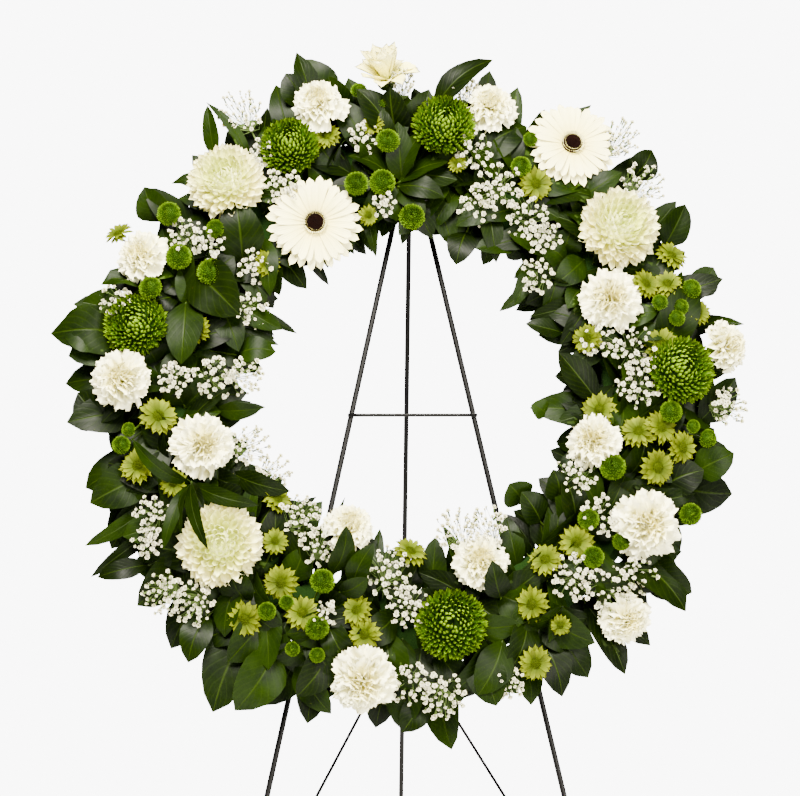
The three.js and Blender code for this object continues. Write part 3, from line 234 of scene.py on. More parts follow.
def facing(x, y, more=1.0):
    """Unit direction in which a head at this place faces."""
    away = math.hypot(x, y) - RING_MIDDLE
    tilt = max(-1.0, min(1.0, away / MAT_HALF_WIDTH)) * MAT_SLOPE * more
    return polar(math.sin(tilt), math.atan2(y, x), math.cos(tilt))


def bloom_tilt(x, y, across):
    """How much of its place's slope a large bloom takes."""
    if across > WIDE_BLOOM:
        return WIDE_TILT
    return EDGE_TILT if math.hypot(x, y) > EDGE_BLOOM else BLOOM_TILT


def turn_to(direction, spin=0.0):
    """A rotation that brings z to the direction, after a spin about z."""
    z = unit(np.asarray(direction, float))
    x = unit(np.cross([0.0, 1.0, 0.0], z))
    y = np.cross(z, x)
    c, s = math.cos(spin), math.sin(spin)
    return np.stack([x, y, z], 1) @ np.array([[c, -s, 0], [s, c, 0], [0, 0, 1]])


def nearest_foot(x, y):
    """The nearest place on the foam's front where a stem can stand."""
    radius = min(max(math.hypot(x, y), RING_INNER + FOOT_INSET), RING_OUTER - FOOT_INSET)
    return polar(radius, math.atan2(y, x), FOAM_FRONT - STEM_DEPTH)


def share_of(x, y, shares):
    """The number of the spray whose share of the ring holds this place."""
    angle = math.degrees(math.atan2(y, x)) % 360
    held = [number for start, number in shares if start <= angle]
    return held[-1] if held else shares[-1][1]


# Skins: sheets of quads gathered into one mesh. A piece's materials come in the same order as
# these numbers: petals or upper sides of leaves, then cores or undersides, then stems.
PETAL, CORE, STEM = 0, 1, 2


class Skin:
    """Sheets of points with marks for the materials.

    A point's marks are how far along and across its sheet it is, a tint, and luck, which is one
    random number for each sheet. All four go from 0 to 1.
    """

    def __init__(self):
        self.points, self.marks, self.quads, self.slots = [], [], [], []
        self.count = 0

    def grid(self, points, slot=PETAL, tint=0.5, luck=None, closed=False):
        """Adds a sheet of rows of points. A closed sheet joins its last column to its first."""
        rows, cols = points.shape[:2]
        along, across = np.meshgrid(
            np.linspace(0, 1, rows), np.linspace(0, 1, cols), indexing="ij")
        luck = rng.random() if luck is None else luck
        marks = np.stack([along, across, np.full_like(along, tint),
                          np.full_like(along, luck)], -1)
        index = self.count + np.arange(rows * cols).reshape(rows, cols)
        if closed:
            index = np.concatenate([index, index[:, :1]], 1)
        quads = np.stack([index[:-1, :-1], index[:-1, 1:], index[1:, 1:], index[1:, :-1]], -1)
        self.add(points.reshape(-1, 3), marks.reshape(-1, 4), quads.reshape(-1, 4), slot)

    def add(self, points, marks, quads, slot):
        """Adds points, their marks and the quads between them, already numbered."""
        self.points.append(points)
        self.marks.append(marks)
        self.quads.append(quads)
        self.slots.append(np.full(len(quads), slot))
        self.count += len(points)

    def stamp(self, other, rotation, origin, scale=1.0, luck=None):
        """Adds a copy of another skin, turned, scaled and moved to a place."""
        start = self.count
        points = np.concatenate(other.points) @ (rotation.T * scale) + origin
        marks = np.concatenate(other.marks)
        if luck is not None:
            marks[:, 3] = (marks[:, 3] + luck) % 1.0
        quads = np.concatenate(other.quads) + start
        self.points.append(points)
        self.marks.append(marks)
        self.quads.append(quads)
        self.slots.append(np.concatenate(other.slots))
        self.count += len(points)


def make(name, skin, materials, node, body=WREATH, leaning=True):
    """Makes the skin one piece that rides on a body and stands for a CAD node."""
    points = np.concatenate(skin.points)
    if leaning:
        points = to_world(points)
    quads = np.concatenate(skin.quads)
    mesh = bpy.data.meshes.new(name)
    mesh.vertices.add(len(points))
    mesh.vertices.foreach_set("co", (points / 1000).astype(np.float32).ravel())
    mesh.loops.add(quads.size)
    mesh.loops.foreach_set("vertex_index", quads.astype(np.int32).ravel())
    mesh.polygons.add(len(quads))
    mesh.polygons.foreach_set("loop_start", np.arange(0, quads.size, 4, dtype=np.int32))
    mesh.polygons.foreach_set("material_index", np.concatenate(skin.slots).astype(np.int32))
    mesh.polygons.foreach_set("use_smooth", np.ones(len(quads), dtype=bool))
    mesh.update(calc_edges=True)
    marks = mesh.attributes.new("form", "FLOAT_COLOR", "POINT")
    marks.data.foreach_set("color", np.concatenate(skin.marks).astype(np.float32).ravel())
    piece = bpy.data.objects.new(name, mesh)
    bpy.context.collection.objects.link(piece)
    for material in materials:
        mesh.materials.append(material)
    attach(piece, body)
    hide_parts(node)


TUBE_END = 0.05


def tube(path, radii, sides=5, ends=True):
    """Rings of points round a path, square to it, and drawn in almost to a point at its ends."""
    path = np.asarray(path, float)
    radii = np.broadcast_to(np.asarray(radii, float), (len(path),))
    steps = np.gradient(path, axis=0)
    steps /= np.linalg.norm(steps, axis=1)[:, None]
    across = np.cross(steps[0], UP if abs(steps[0][2]) < 0.9 else np.array([1.0, 0.0, 0.0]))
    angles = np.arange(sides) * TURN / sides
    rings = []
    for point, step, radius in zip(path, steps, radii):
        across = unit(across - step * np.dot(across, step))
        other = np.cross(step, across)
        ring = np.cos(angles)[:, None] * across + np.sin(angles)[:, None] * other
        rings.append(point + radius * ring)
    if ends:
        rings.insert(0, path[0] + (rings[0] - path[0]) * TUBE_END)
        rings.append(path[-1] + (rings[-1] - path[-1]) * TUBE_END)
    return np.array(rings)


def smooth_path(points, steps=4):
    """A smooth curve through a few points."""
    points = np.asarray(points, float)
    ends = np.concatenate([[2 * points[0] - points[1]], points, [2 * points[-1] - points[-2]]])
    curve = []
    for i in range(len(points) - 1):
        a, b, c, d = ends[i:i + 4]
        for t in np.arange(steps) / steps:
            curve.append(0.5 * (2 * b + (c - a) * t + (2 * a - 5 * b + 4 * c - d) * t ** 2
                                + (3 * b - a - 3 * c + d) * t ** 3))
    curve.append(points[-1])
    return np.array(curve)


def turned(profile, sides=12):
    """A surface turned about z from rows of radius and height."""
    angles = np.arange(sides) * TURN / sides
    return np.array([[[r * math.cos(a), r * math.sin(a), z] for a in angles]
                     for r, z in profile])


# Petals

def outline(along, root, widest, blunt):
    """A petal's share of its full width: it swells from its root, then closes to its tip."""
    rise = root + (1 - root) * np.sin(np.clip(along / widest, 0, 1) * math.pi / 2)
    fall = np.clip(np.cos((along - widest) / (1 - widest) * math.pi / 2), 0, 1) ** blunt
    return np.where(along < widest, rise, fall)


def petal(length, width, start, end, rows=7, cols=5, root=0.3, widest=0.6, blunt=0.5,
          cup=0.0, groove=0.0, ripple=0.0, waves=2.0, teeth=0.0, point=0.1, phase=0.0):
    """A petal that runs out along x and turns from one angle above level to another.

    Both angles are in degrees. cup lifts its sides, groove cuts two lines along it, ripple waves
    its end, teeth notches its rim, and point draws its tip out past its sides.
    """
    along = np.linspace(0, 1, rows)[:, None]
    side = np.linspace(-1, 1, cols)[None, :]
    angle = np.radians(start + (end - start) * along)
    step = length / (rows - 1)
    x = np.concatenate([[[0]], np.cumsum(np.cos(angle[1:]), 0)]) * step
    z = np.concatenate([[[0]], np.cumsum(np.sin(angle[1:]), 0)]) * step
    half = width / 2 * np.maximum(outline(along, root, widest, blunt), 0.03)
    lift = (cup * half * side ** 2 + groove * half * np.cos(side * math.pi * 3)
            + ripple * along ** 1.5 * np.sin(side * math.pi * waves + phase))
    notch = np.where(np.arange(cols) % 2 == 0, 1.0, -1.0)[None, :]
    reach = teeth * length * along ** 6 * notch - point * length * along ** 3 * side ** 2
    return np.stack(np.broadcast_arrays(
        x - np.sin(angle) * lift + np.cos(angle) * reach,
        side * half,
        z + np.cos(angle) * lift + np.sin(angle) * reach,
    ), -1)


def stand(points, azimuth, out, up):
    """Sets a petal round a head's axis, its root this far out and up."""
    x = points[..., 0] + out
    y = points[..., 1]
    c, s = math.cos(azimuth), math.sin(azimuth)
    return np.stack([x * c - y * s, x * s + y * c, points[..., 2] + up], -1)


def whorl(skin, count, length, width, start, end, out, up, tint=0.5, shake=4.0, turn=0.0,
          **form):
    """A ring of petals round a head, each a little different.

    start and end are a petal's angles above level in degrees, shake is how much they vary, and
    turn shifts the ring round by a share of the space between two petals.
    """
    for i in range(count):
        azimuth = (i + turn + rng.uniform(-0.18, 0.18)) * TURN / count
        leaf = petal(length * rng.uniform(0.92, 1.05), width * rng.uniform(0.9, 1.1),
                     start + rng.uniform(-shake, shake), end + rng.uniform(-shake, shake) * 2,
                     phase=rng.uniform(0, 6.28), **form)
        skin.grid(stand(leaf, azimuth, out, up), PETAL, tint)


def florets(skin, radius, height, count, size, base, tint=0.5):
    """A dome packed with little pegs in a sunflower's spiral."""
    for i in range(count):
        share = math.sqrt((i + 0.5) / count)
        angle = i * GOLDEN
        place = polar(radius * share, angle, base + height * (1 - share ** 2))
        lean = polar(0.5 * share, angle, 1)
        peg = tube([place, place + lean * size * 1.2], [size * 0.55, size * 0.35], 4)
        skin.grid(peg, CORE, tint * share, closed=True)


def calyx(skin, radius, length, base):
    """The green cup under a head."""
    skin.grid(turned([
        [1.6, base - length], [radius * 0.7, base - length * 0.8], [radius, base - length * 0.3],
        [radius * 1.02, base + 1.5], [radius * 0.4, base + 1.2],
    ], 10), STEM, 0.4, closed=True)


def gerbera_head(radius):
    """Two rings of long grooved rays round a near-black eye with a pale fringe."""
    skin = Skin()
    form = dict(rows=11, cols=7, root=0.45, widest=0.8, blunt=0.35, groove=0.1, cup=0.3,
                point=0.02)
    whorl(skin, 28, length=radius * 0.9, width=radius * 0.19, start=6, end=-14,
          out=radius * 0.22, up=3, tint=0.55, **form)
    whorl(skin, 27, length=radius * 0.8, width=radius * 0.18, start=17, end=-2,
          out=radius * 0.2, up=5, tint=0.7, turn=0.5, **form)
    whorl(skin, 34, length=radius * 0.13, width=radius * 0.045, start=40, end=70,
          out=radius * 0.22, up=8, tint=0.1, rows=4, cols=3)
    whorl(skin, 30, length=radius * 0.07, width=radius * 0.04, start=60, end=95,
          out=radius * 0.19, up=9.5, tint=0.0, rows=4, cols=3)
    skin.grid(turned([[radius * 0.3, 3], [radius * 0.24, 8], [0.5, 11]], 20), CORE, closed=True)
    florets(skin, radius * 0.2, height=3, count=150, size=1.7, base=8)
    calyx(skin, radius * 0.26, length=12, base=3)
    return skin


def football_head(radius):
    """A ball of cupped rays that curl in over each other, greener towards the middle."""
    skin = Skin()
    height, base = radius * 0.38, 5
    count, lowest = 210, math.cos(math.radians(112))
    core = [[0.3, base - 6], [radius * 0.5, base - 2], [radius * 0.55, base + height * 0.4],
            [radius * 0.3, base + height * 0.85], [0.3, base + height]]
    skin.grid(turned(core, 16), CORE, 0.6, closed=True)
    for i in range(count):
        share = (i + 0.5) / count
        level = (1 - share) + lowest * share
        theta = math.acos(level)
        start = 90 - math.degrees(theta) - 22 + rng.uniform(-7, 7)
        leaf = petal(
            radius * (0.3 + 0.24 * math.sin(theta)) * rng.uniform(0.86, 1.12),
            radius * (0.13 + 0.07 * math.sin(theta)) * rng.uniform(0.85, 1.15),
            start, start + 66 + rng.uniform(-16, 12),
            rows=7, cols=5, root=0.45, widest=0.76, blunt=0.35, cup=0.7, point=0.03)
        twist = i * GOLDEN + rng.uniform(-0.08, 0.08)
        ray = stand(leaf, twist, radius * 0.56 * math.sin(theta), base + height * level)
        skin.grid(ray, PETAL, 1 - share)
    calyx(skin, radius * 0.4, length=12, base=4)
    return skin


def quilled_head(radius, height, count, quill, width, pit, base, splay=30, curl=100, rows=6):
    """A dome of narrow quills that curl in towards a small dark pit.

    quill and width are a quill's length and width. pit is the angle of the bare middle, splay is
    how far each quill leans out from the dome at its root, and curl is how far it turns back in,
    all in degrees.
    """
    skin = Skin()
    highest, lowest = math.cos(math.radians(pit)), math.cos(math.radians(106))
    body = [[radius * 0.1, base - 1]]
    for share in np.linspace(0, 1, 7):
        theta = math.radians(105 - 105 * share)
        body.append([radius * 0.78 * math.sin(theta) + 0.1,
                     base + height * (0.25 + 0.62 * math.cos(theta))])
    skin.grid(turned(body, 18), CORE, 0.1, closed=True)
    for i in range(count):
        share = (i + 0.5) / count
        level = highest * (1 - share) + lowest * share
        theta = math.acos(level)
        start = 90 - math.degrees(theta) - splay
        leaf = petal(quill * rng.uniform(0.85, 1.1), width, start + rng.uniform(-8, 8),
                     start + curl + rng.uniform(-15, 15), rows=rows, cols=3, root=0.6, widest=0.7,
                     blunt=0.6, cup=0.9)
        twist = i * GOLDEN + rng.uniform(-0.05, 0.05)
        leaf = stand(leaf, twist, radius * 0.74 * math.sin(theta),
                     base + height * (0.25 + 0.6 * level))
        skin.grid(leaf, PETAL, share)
    calyx(skin, radius * 0.5, length=min(12, radius * 0.7), base=base + height * 0.1)
    return skin


def carnation_head(radius):
    """Broad ruffled petals in no clear order, over a long green cup."""
    skin = Skin()
    count = 40
    for i in range(count):
        share = (i + 0.5) / count
        start = 4 + 84 * share ** 0.85 + rng.uniform(-8, 8)
        size = radius * (1.02 - 0.42 * share)
        leaf = petal(
            size * rng.uniform(0.86, 1.06),
            size * rng.uniform(0.75, 1.15),
            start, start - 34 + 26 * share + rng.uniform(-14, 14),
            rows=8, cols=17, root=0.12, widest=0.86, blunt=0.0, teeth=0.03,
            ripple=radius * rng.uniform(0.1, 0.21), waves=rng.uniform(1.5, 3.2),
            phase=rng.uniform(0, 6.28))
        twist = i * GOLDEN + rng.uniform(-0.4, 0.4)
        skin.grid(stand(leaf, twist, out=1.2, up=4 + 6 * share), PETAL, share)
    cup = [[2, -16], [5, -14], [6.5, -8], [8, 2], [9, 6], [4, 7]]
    skin.grid(turned(cup, 10), STEM, 0.4, closed=True)
    return skin


def top_head(radius):
    """A loose cream flower seen from its side, with long outer rays."""
    skin = Skin()
    form = dict(rows=9, cols=7, root=0.4, widest=0.72, blunt=0.45, groove=0.04, cup=0.45)
    whorl(skin, 9, length=radius * 1.15, width=radius * 0.62, start=42, end=6, out=3, up=6,
          tint=0.3, shake=12, **form)
    whorl(skin, 9, length=radius * 1.2, width=radius * 0.6, start=66, end=62, out=3, up=8,
          tint=0.5, turn=0.5, shake=10, **form)
    whorl(skin, 8, length=radius * 1.05, width=radius * 0.5, start=80, end=96, out=2, up=9,
          tint=0.9, shake=10, **form)
    florets(skin, radius * 0.16, height=5, count=30, size=1.6, base=12)
    calyx(skin, radius * 0.3, length=12, base=7)
    return skin


def daisy_head(radius):
    """Two rings of lime rays round a domed eye."""
    skin = Skin()
    form = dict(rows=6, cols=5, root=0.5, widest=0.68, blunt=0.45, groove=0.06, cup=0.25)
    whorl(skin, 16, length=radius * 0.85, width=radius * 0.27, start=8, end=-14,
          out=radius * 0.2, up=1.5, tint=0.4, shake=8, **form)
    whorl(skin, 15, length=radius * 0.75, width=radius * 0.25, start=24, end=2,
          out=radius * 0.18, up=2.5, tint=0.7, shake=9, turn=0.5, **form)
    eye = [[radius * 0.3, 1], [radius * 0.27, 3], [0.3, 4.4]]
    skin.grid(turned(eye, 12), CORE, 0.2, closed=True)
    florets(skin, radius * 0.28, height=1.8, count=46, size=1.1, base=2.8, tint=1.0)
    calyx(skin, radius * 0.3, length=4, base=1)
    return skin


def breath_head(radius):
    """A tiny double white flower."""
    skin = Skin()
    form = dict(rows=3, cols=3, root=0.5, widest=0.72, blunt=0.3, cup=0.5, shake=10)
    whorl(skin, 6, length=radius, width=radius * 1.05, start=0, end=30, out=0.2, up=0,
          tint=0.4, **form)
    whorl(skin, 6, length=radius * 0.9, width=radius, start=32, end=66, out=0.2, up=0.3,
          tint=0.6, turn=0.5, **form)
    whorl(skin, 4, length=radius * 0.8, width=radius * 0.9, start=62, end=110, out=0.1, up=0.6,
          tint=0.8, **form)
    cup = [[0.3, -2.2], [radius * 0.32, -1.2], [radius * 0.3, 0.4]]
    skin.grid(turned(cup, 5), STEM, 0.5, closed=True)
    return skin


# Leaves

# A leaf's thickness, the share by which a leaf that isn't long is wider than its row says, the
# width below which a leaf at the edge is a long one, and the number of pieces of leaves
LEAF_THICKNESS = 0.5
LEAF_FULLNESS = 1.14
LONG_LEAF = 22
SECTORS = 8

# A leaf is pressed down within this share of a bloom's diameter, to this far behind its base
PRESS_REACH = 0.54
PRESS_DEPTH = 3


def leaf_sheet(root, tip, width, up, arch, fold, sway, widest, phase, rows=9, cols=7):
    """The upper side of a leaf, folded along its rib, arched, and waved along its rim."""
    axis = tip - root
    length = np.linalg.norm(axis)
    side = unit(np.cross(axis, up))
    normal = np.cross(side, axis / length)
    along = np.linspace(0, 1, rows)[:, None, None]
    across = np.linspace(-1, 1, cols)[None, :, None]
    half = width / 2 * np.maximum(outline(along, 0.06, widest, 0.62), 0.015)
    middle = (root + axis * along + normal * arch * length * 4 * along * (1 - along)
              + side * sway * length * np.sin(along * math.pi))
    lift = fold * half * np.abs(across) - 0.35 * fold * half * across ** 2
    lift = lift + 0.05 * half * np.sin(along * 9 + phase) * across ** 2 * np.sign(across)
    return middle + side * across * half + normal * lift, normal


def press_down(points):
    """Points of a leaf, pressed to behind each large bloom that they would come through."""
    for x, y, across, rise in GERBERAS + FOOTBALL_MUMS + SPIDER_MUMS + CARNATIONS:
        aim = facing(x, y, bloom_tilt(x, y, across))
        away = points - np.array([x, y, mat_height(x, y) + rise])
        above = away @ aim
        reach = np.linalg.norm(away - above[..., None] * aim, axis=-1)
        under = reach < across * PRESS_REACH
        excess = np.where(under, np.maximum(above + PRESS_DEPTH, 0), 0)
        points = points - excess[..., None] * aim
    return points


def add_leaf(skin, root, tip, width, stalk, long=False, over=False):
    """Adds a leaf with its upper side, its paler underside and the stalk into the foam.

    A long leaf is thin for its width. A leaf that goes over the blooms isn't pressed down.
    """
    up = unit(UP + polar(0.45, math.atan2(root[1], root[0]), 0)) + rng.normal(0, 0.22, 3)
    arch = rng.uniform(0.06, 0.22)
    tint = 0.9 if long else rng.uniform(0, 0.6)
    top, normal = leaf_sheet(
        root, tip, width if long else width * LEAF_FULLNESS, up, arch,
        fold=rng.uniform(0.05, 0.3),
        sway=rng.uniform(-0.06, 0.06),
        widest=0.42 if long else rng.uniform(0.34, 0.46),
        phase=rng.uniform(0, 6.28))
    luck = rng.random()
    if not over:
        top = press_down(top)
    skin.grid(top, PETAL, tint, luck)
    skin.grid((top - normal * LEAF_THICKNESS)[:, ::-1], CORE, tint, luck)
    path = smooth_path([stalk, (stalk + root) / 2 + UP, root, root + (tip - root) * 0.08], 2)
    skin.grid(tube(path, STALK_RADIUS, 4), STEM, 0.5, closed=True)


def rim_radius(rows):
    """A function that gives the radius of the leaf tips at an angle round the ring."""
    spots = sorted((math.atan2(y, x), math.hypot(x, y)) for x, y, _ in rows)
    angles = np.array([a for a, _ in spots])
    radii = np.array([r for _, r in spots])
    return lambda angle: float(np.interp(
        (angle + math.pi) % (2 * math.pi) - math.pi, angles, radii, period=2 * math.pi))


def edge_leaves(add, rows, band):
    """The leaves whose tips make the wreath's outline."""
    for index, (x, y, width) in enumerate(rows):
        angle = math.atan2(y, x) + math.radians(rng.uniform(-3, 3))
        high = index % 2 == 0
        z = 48 if high else 28
        inside = band - 8 if band > RING_MIDDLE else band + 8
        root = polar(band, angle, z)
        tip = np.array([x, y, rng.uniform(50, 70) if high else rng.uniform(26, 42)])
        add(root, tip, width, long=width < LONG_LEAF, stalk=polar(inside, angle, z))


def leaf_row(add, count, roots, root_z, tip_z, reach, widths, spread=10.0):
    """A row of leaves round the ring, with ranges for their roots, heights and widths.

    reach gives the radius of a tip from its angle and from the radius of its root.
    """
    for i in range(count):
        angle = (i + rng.random()) / count * TURN
        root_r = rng.uniform(*roots)
        tip_angle = angle + math.radians(rng.uniform(-spread, spread))
        root = polar(root_r, angle, rng.uniform(*root_z))
        tip = polar(reach(tip_angle, root_r), tip_angle, rng.uniform(*tip_z))
        width = rng.uniform(*widths)
        sunk = root.copy()
        sunk[2] = min(root[2], FOAM_FRONT - 4)
        sunk[:2] *= min(max(root_r, RING_INNER + 6), RING_OUTER - 6) / root_r
        add(root, tip, width, long=width < 20 and rng.random() < 0.6, stalk=sunk)


def filler_leaves(add):
    """The rows of leaves that cover the foam behind and between the flowers."""
    outer, inner = rim_radius(OUTER_LEAVES), rim_radius(INNER_LEAVES)
    leaf_row(add, 80, (300, 308), (16, 30), (6, 30),
             lambda a, r: outer(a) * rng.uniform(0.84, 0.95), (30, 46))
    leaf_row(add, 90, (290, 306), (44, 60), (34, 60),
             lambda a, r: outer(a) * rng.uniform(0.84, 0.93), (28, 46))
    leaf_row(add, 100, (262, 292), (58, 64), (56, 74),
             lambda a, r: r + rng.uniform(52, 78), (26, 44), 14)
    leaf_row(add, 130, (240, 290), (58, 64), (66, 84),
             lambda a, r: r + rng.uniform(-14, 52), (24, 40), 16)
    leaf_row(add, 90, (235, 262), (58, 62), (62, 80),
             lambda a, r: r - rng.uniform(30, 62), (20, 34), 14)
    leaf_row(add, 70, (228, 236), (36, 56), (30, 62),
             lambda a, r: inner(a) + rng.uniform(6, 34), (18, 30))
    leaf_row(add, 60, (228, 236), (16, 30), (10, 34),
             lambda a, r: inner(a) + rng.uniform(12, 40), (18, 30))


def seen_leaves(add):
    """The single leaves that stand out in the photograph."""
    for x0, y0, x1, y1, width, low, high, long in SEEN_LEAVES:
        root = np.array([*from_photo(x0, y0), low])
        tip = np.array([*from_photo(x1, y1), high])
        foot = nearest_foot(root[0], root[1])
        add(root, tip, width, long=bool(long), stalk=foot, over=True)


def foliage():
    """Pieces of leaves, one for each sector of the ring."""
    skins = [Skin() for _ in range(SECTORS)]

    def add(root, tip, width, **form):
        angle = math.atan2(root[1], root[0]) % TURN
        sector = min(int(angle / (TURN / SECTORS)), SECTORS - 1)
        add_leaf(skins[sector], root, tip, width, **form)

    edge_leaves(add, OUTER_LEAVES, RING_OUTER + 3)
    edge_leaves(add, INNER_LEAVES, RING_INNER - 3)
    filler_leaves(add)
    seen_leaves(add)
    for index, skin in enumerate(skins):
        make(f"leaves_{index + 1}", skin, [leaf_top, leaf_under, green_stem],
             f"foliage_{index + 1}")


# Materials

PETAL_ROUGHNESS = 0.6


class Shader:
    """A material's nodes, made by name and joined in order."""

    def __init__(self, name):
        self.material = bpy.data.materials.new(name)
        self.material.use_nodes = True
        self.tree = self.material.node_tree
        self.surface = self.tree.nodes["Principled BSDF"]
        self.form = self.node("ShaderNodeAttribute")
        self.form.attribute_name = "form"
        split = self.node("ShaderNodeSeparateColor")
        self.link(self.form.outputs["Color"], split.inputs[0])
        self.along, self.across, self.tint = split.outputs
        self.luck = self.form.outputs["Alpha"]
        self.place = self.node("ShaderNodeTexCoord").outputs["Object"]

    def node(self, kind):
        """Adds a node of a kind."""
        return self.tree.nodes.new(kind)

    def link(self, source, target):
        """Joins an output to a socket."""
        self.tree.links.new(source, target)

    def put(self, target, value):
        """Joins an output to a socket, or sets the socket to a number or colour."""
        if hasattr(value, "links"):
            self.link(value, target)
        else:
            target.default_value = value

    def maths(self, operation, *values):
        """The result of a sum on numbers or outputs."""
        node = self.node("ShaderNodeMath")
        node.operation = operation
        for socket, value in zip(node.inputs, values):
            self.put(socket, value)
        return node.outputs[0]

    def noise(self, scale, detail=3.0, roughness=0.5):
        """Soft noise in the object's own space, with about this many lumps a metre."""
        node = self.node("ShaderNodeTexNoise")
        self.link(self.place, node.inputs["Vector"])
        node.inputs["Scale"].default_value = scale
        node.inputs["Detail"].default_value = detail
        node.inputs["Roughness"].default_value = roughness
        return node.outputs["Fac"]

    def ramp(self, value, *stops):
        """Colours between stops, each a place from 0 to 1 and a colour."""
        node = self.node("ShaderNodeValToRGB")
        self.link(value, node.inputs[0])
        elements = node.color_ramp.elements
        while len(elements) < len(stops):
            elements.new(0.5)
        for element, (position, colour) in zip(elements, stops):
            element.position = position
            element.color = (*colour, 1)
        return node.outputs[0]

    def mix(self, share, first, second, blend="MIX"):
        """Two colours or outputs mixed by a share of the second."""
        node = self.node("ShaderNodeMix")
        node.data_type = "RGBA"
        node.blend_type = blend
        self.put(node.inputs["Factor"], share)
        for socket, value in zip(node.inputs[6:8], (first, second)):
            self.put(socket, value if hasattr(value, "links") else (*value, 1))
        return node.outputs[2]

    def finish(self, colour, roughness, height=None, distance=0.0005, strength=0.5, **constants):
        """Joins colour, roughness and bump to the surface, and sets its constants."""
        self.link(colour, self.surface.inputs["Base Color"])
        self.put(self.surface.inputs["Roughness"], roughness)
        if height is not None:
            bump = self.node("ShaderNodeBump")
            bump.inputs["Distance"].default_value = distance
            bump.inputs["Strength"].default_value = strength
            self.link(height, bump.inputs["Height"])
            self.link(bump.outputs[0], self.surface.inputs["Normal"])
        for name, value in constants.items():
            self.surface.inputs[name.replace("_", " ")].default_value = value
        return self.material

    def varied(self, colour, low, high):
        """A colour made darker or lighter from one leaf or petal to the next."""
        shade = self.maths("MULTIPLY_ADD", self.luck, high - low, low)
        grey = self.node("ShaderNodeCombineColor")
        for socket in grey.inputs[:3]:
            self.link(shade, socket)
        return self.mix(1.0, colour, grey.outputs[0], "MULTIPLY")

    def rib(self, width):
        """1 along the middle of a leaf or petal, falling to 0 within a share of its width."""
        off = self.maths("ABSOLUTE", self.maths("SUBTRACT", self.across, 0.5))
        near = self.maths("MINIMUM", 1.0, self.maths("DIVIDE", off, width))
        return self.maths("SUBTRACT", 1.0, near)

    def streaks(self, count, wobble=1.5):
        """Fine lines that run along a petal, for its bump and for a darkening of its colour that
        is partly its own veins and partly painted shade in its grooves.
        """
        phase = self.maths("MULTIPLY_ADD", self.across, count * TURN,
                           self.maths("MULTIPLY", self.noise(60.0), wobble))
        return self.maths("MULTIPLY_ADD", self.maths("SINE", phase), 0.5, 0.5)


def leaf_material(name, dark, light, rib, roughness, gloss, under=False):
    """A waxy leaf with a thin pale rib, faint side veins that sweep to the tip, and mottling."""
    shader = Shader(name)
    mottle = shader.maths("MULTIPLY_ADD", shader.noise(38.0, 4.0), 1.6, -0.35)
    green = shader.mix(mottle, dark, light)
    off = shader.maths("ABSOLUTE", shader.maths("SUBTRACT", shader.across, 0.5))
    sweep = shader.maths("MULTIPLY_ADD", shader.along, 50.0,
                         shader.maths("MULTIPLY", off, -36.0))
    sweep = shader.maths("ADD", sweep, shader.maths("MULTIPLY", shader.noise(30.0), 4.0))
    veins = shader.maths("POWER", shader.maths(
        "MULTIPLY_ADD", shader.maths("SINE", sweep), 0.5, 0.5), 12.0)
    middle = shader.rib(0.035)
    lines = shader.maths("MAXIMUM", shader.maths("MULTIPLY", middle, 0.7),
                         shader.maths("MULTIPLY", veins, 0.14))
    colour = shader.mix(lines, shader.varied(green, 0.4, 1.9), rib)
    relief = shader.maths("SUBTRACT", shader.maths("MULTIPLY", shader.noise(160.0, 2.0), 0.5),
                          shader.maths("MULTIPLY", lines, -1.0 if under else 1.0))
    rough = shader.maths("MULTIPLY_ADD", shader.noise(80.0), 0.25, roughness)
    return shader.finish(colour, rough, relief, 0.0006, 0.6, Specular_IOR_Level=gloss)


def petal_material(name, root, body, rim, streak, varied=(0.94, 1.04), inner=None, sheen=0.1,
                   gloss=0.2):
    """A soft petal that changes colour from root to rim, with fine lines along it. Its darker root
    colour is partly its own and partly painted shade where the petals crowd together, and the
    lines are darkened partly as painted shade in its grooves.

    streak is the number of lines, varied is the range of brightness from petal to petal, and
    inner is the colour towards the head's middle, where it has another.
    """
    shader = Shader(name)
    # Darker at the root: partly the petal's own colour, partly painted shade between the crowded
    # petals.
    colour = shader.ramp(shader.along, (0.0, root), (0.45, body), (1.0, rim))
    if inner:
        share = shader.maths("MULTIPLY_ADD", shader.tint, 1.6, -0.75)
        colour = shader.mix(shader.maths("MAXIMUM", share, 0.0), colour, inner)
    cloud = shader.mix(shader.noise(120.0), (0.95, 0.95, 0.93), (1.0, 1.0, 1.0))
    colour = shader.mix(1.0, shader.varied(colour, *varied), cloud, "MULTIPLY")
    lines = shader.streaks(streak)
    # The lines darken the colour a little: partly the petal's own veins, partly painted shade in
    # its grooves.
    colour = shader.mix(shader.maths("MULTIPLY", lines, 0.12), colour,
                        tuple(c * 0.8 for c in body))
    height = shader.maths("ADD", lines, shader.noise(500.0, 2.0))
    return shader.finish(colour, PETAL_ROUGHNESS, height, 0.0003, 0.5, Sheen_Weight=sheen,
                         Specular_IOR_Level=gloss)


def plain_material(name, dark, light, scale, roughness, gloss, bump=0.0003):
    """A surface of two mixed colours with a fine grain; scale is its lumps a metre."""
    shader = Shader(name)
    grain = shader.maths("MULTIPLY_ADD", shader.noise(scale, 5.0, 0.6), 1.6, -0.3)
    colour = shader.varied(shader.mix(grain, dark, light), 0.85, 1.15)
    rough = shader.maths("MULTIPLY_ADD", shader.noise(scale * 0.3), 0.2, roughness - 0.1)
    return shader.finish(colour, rough, shader.noise(scale * 4, 4.0), bump, 0.6,
                         Specular_IOR_Level=gloss)


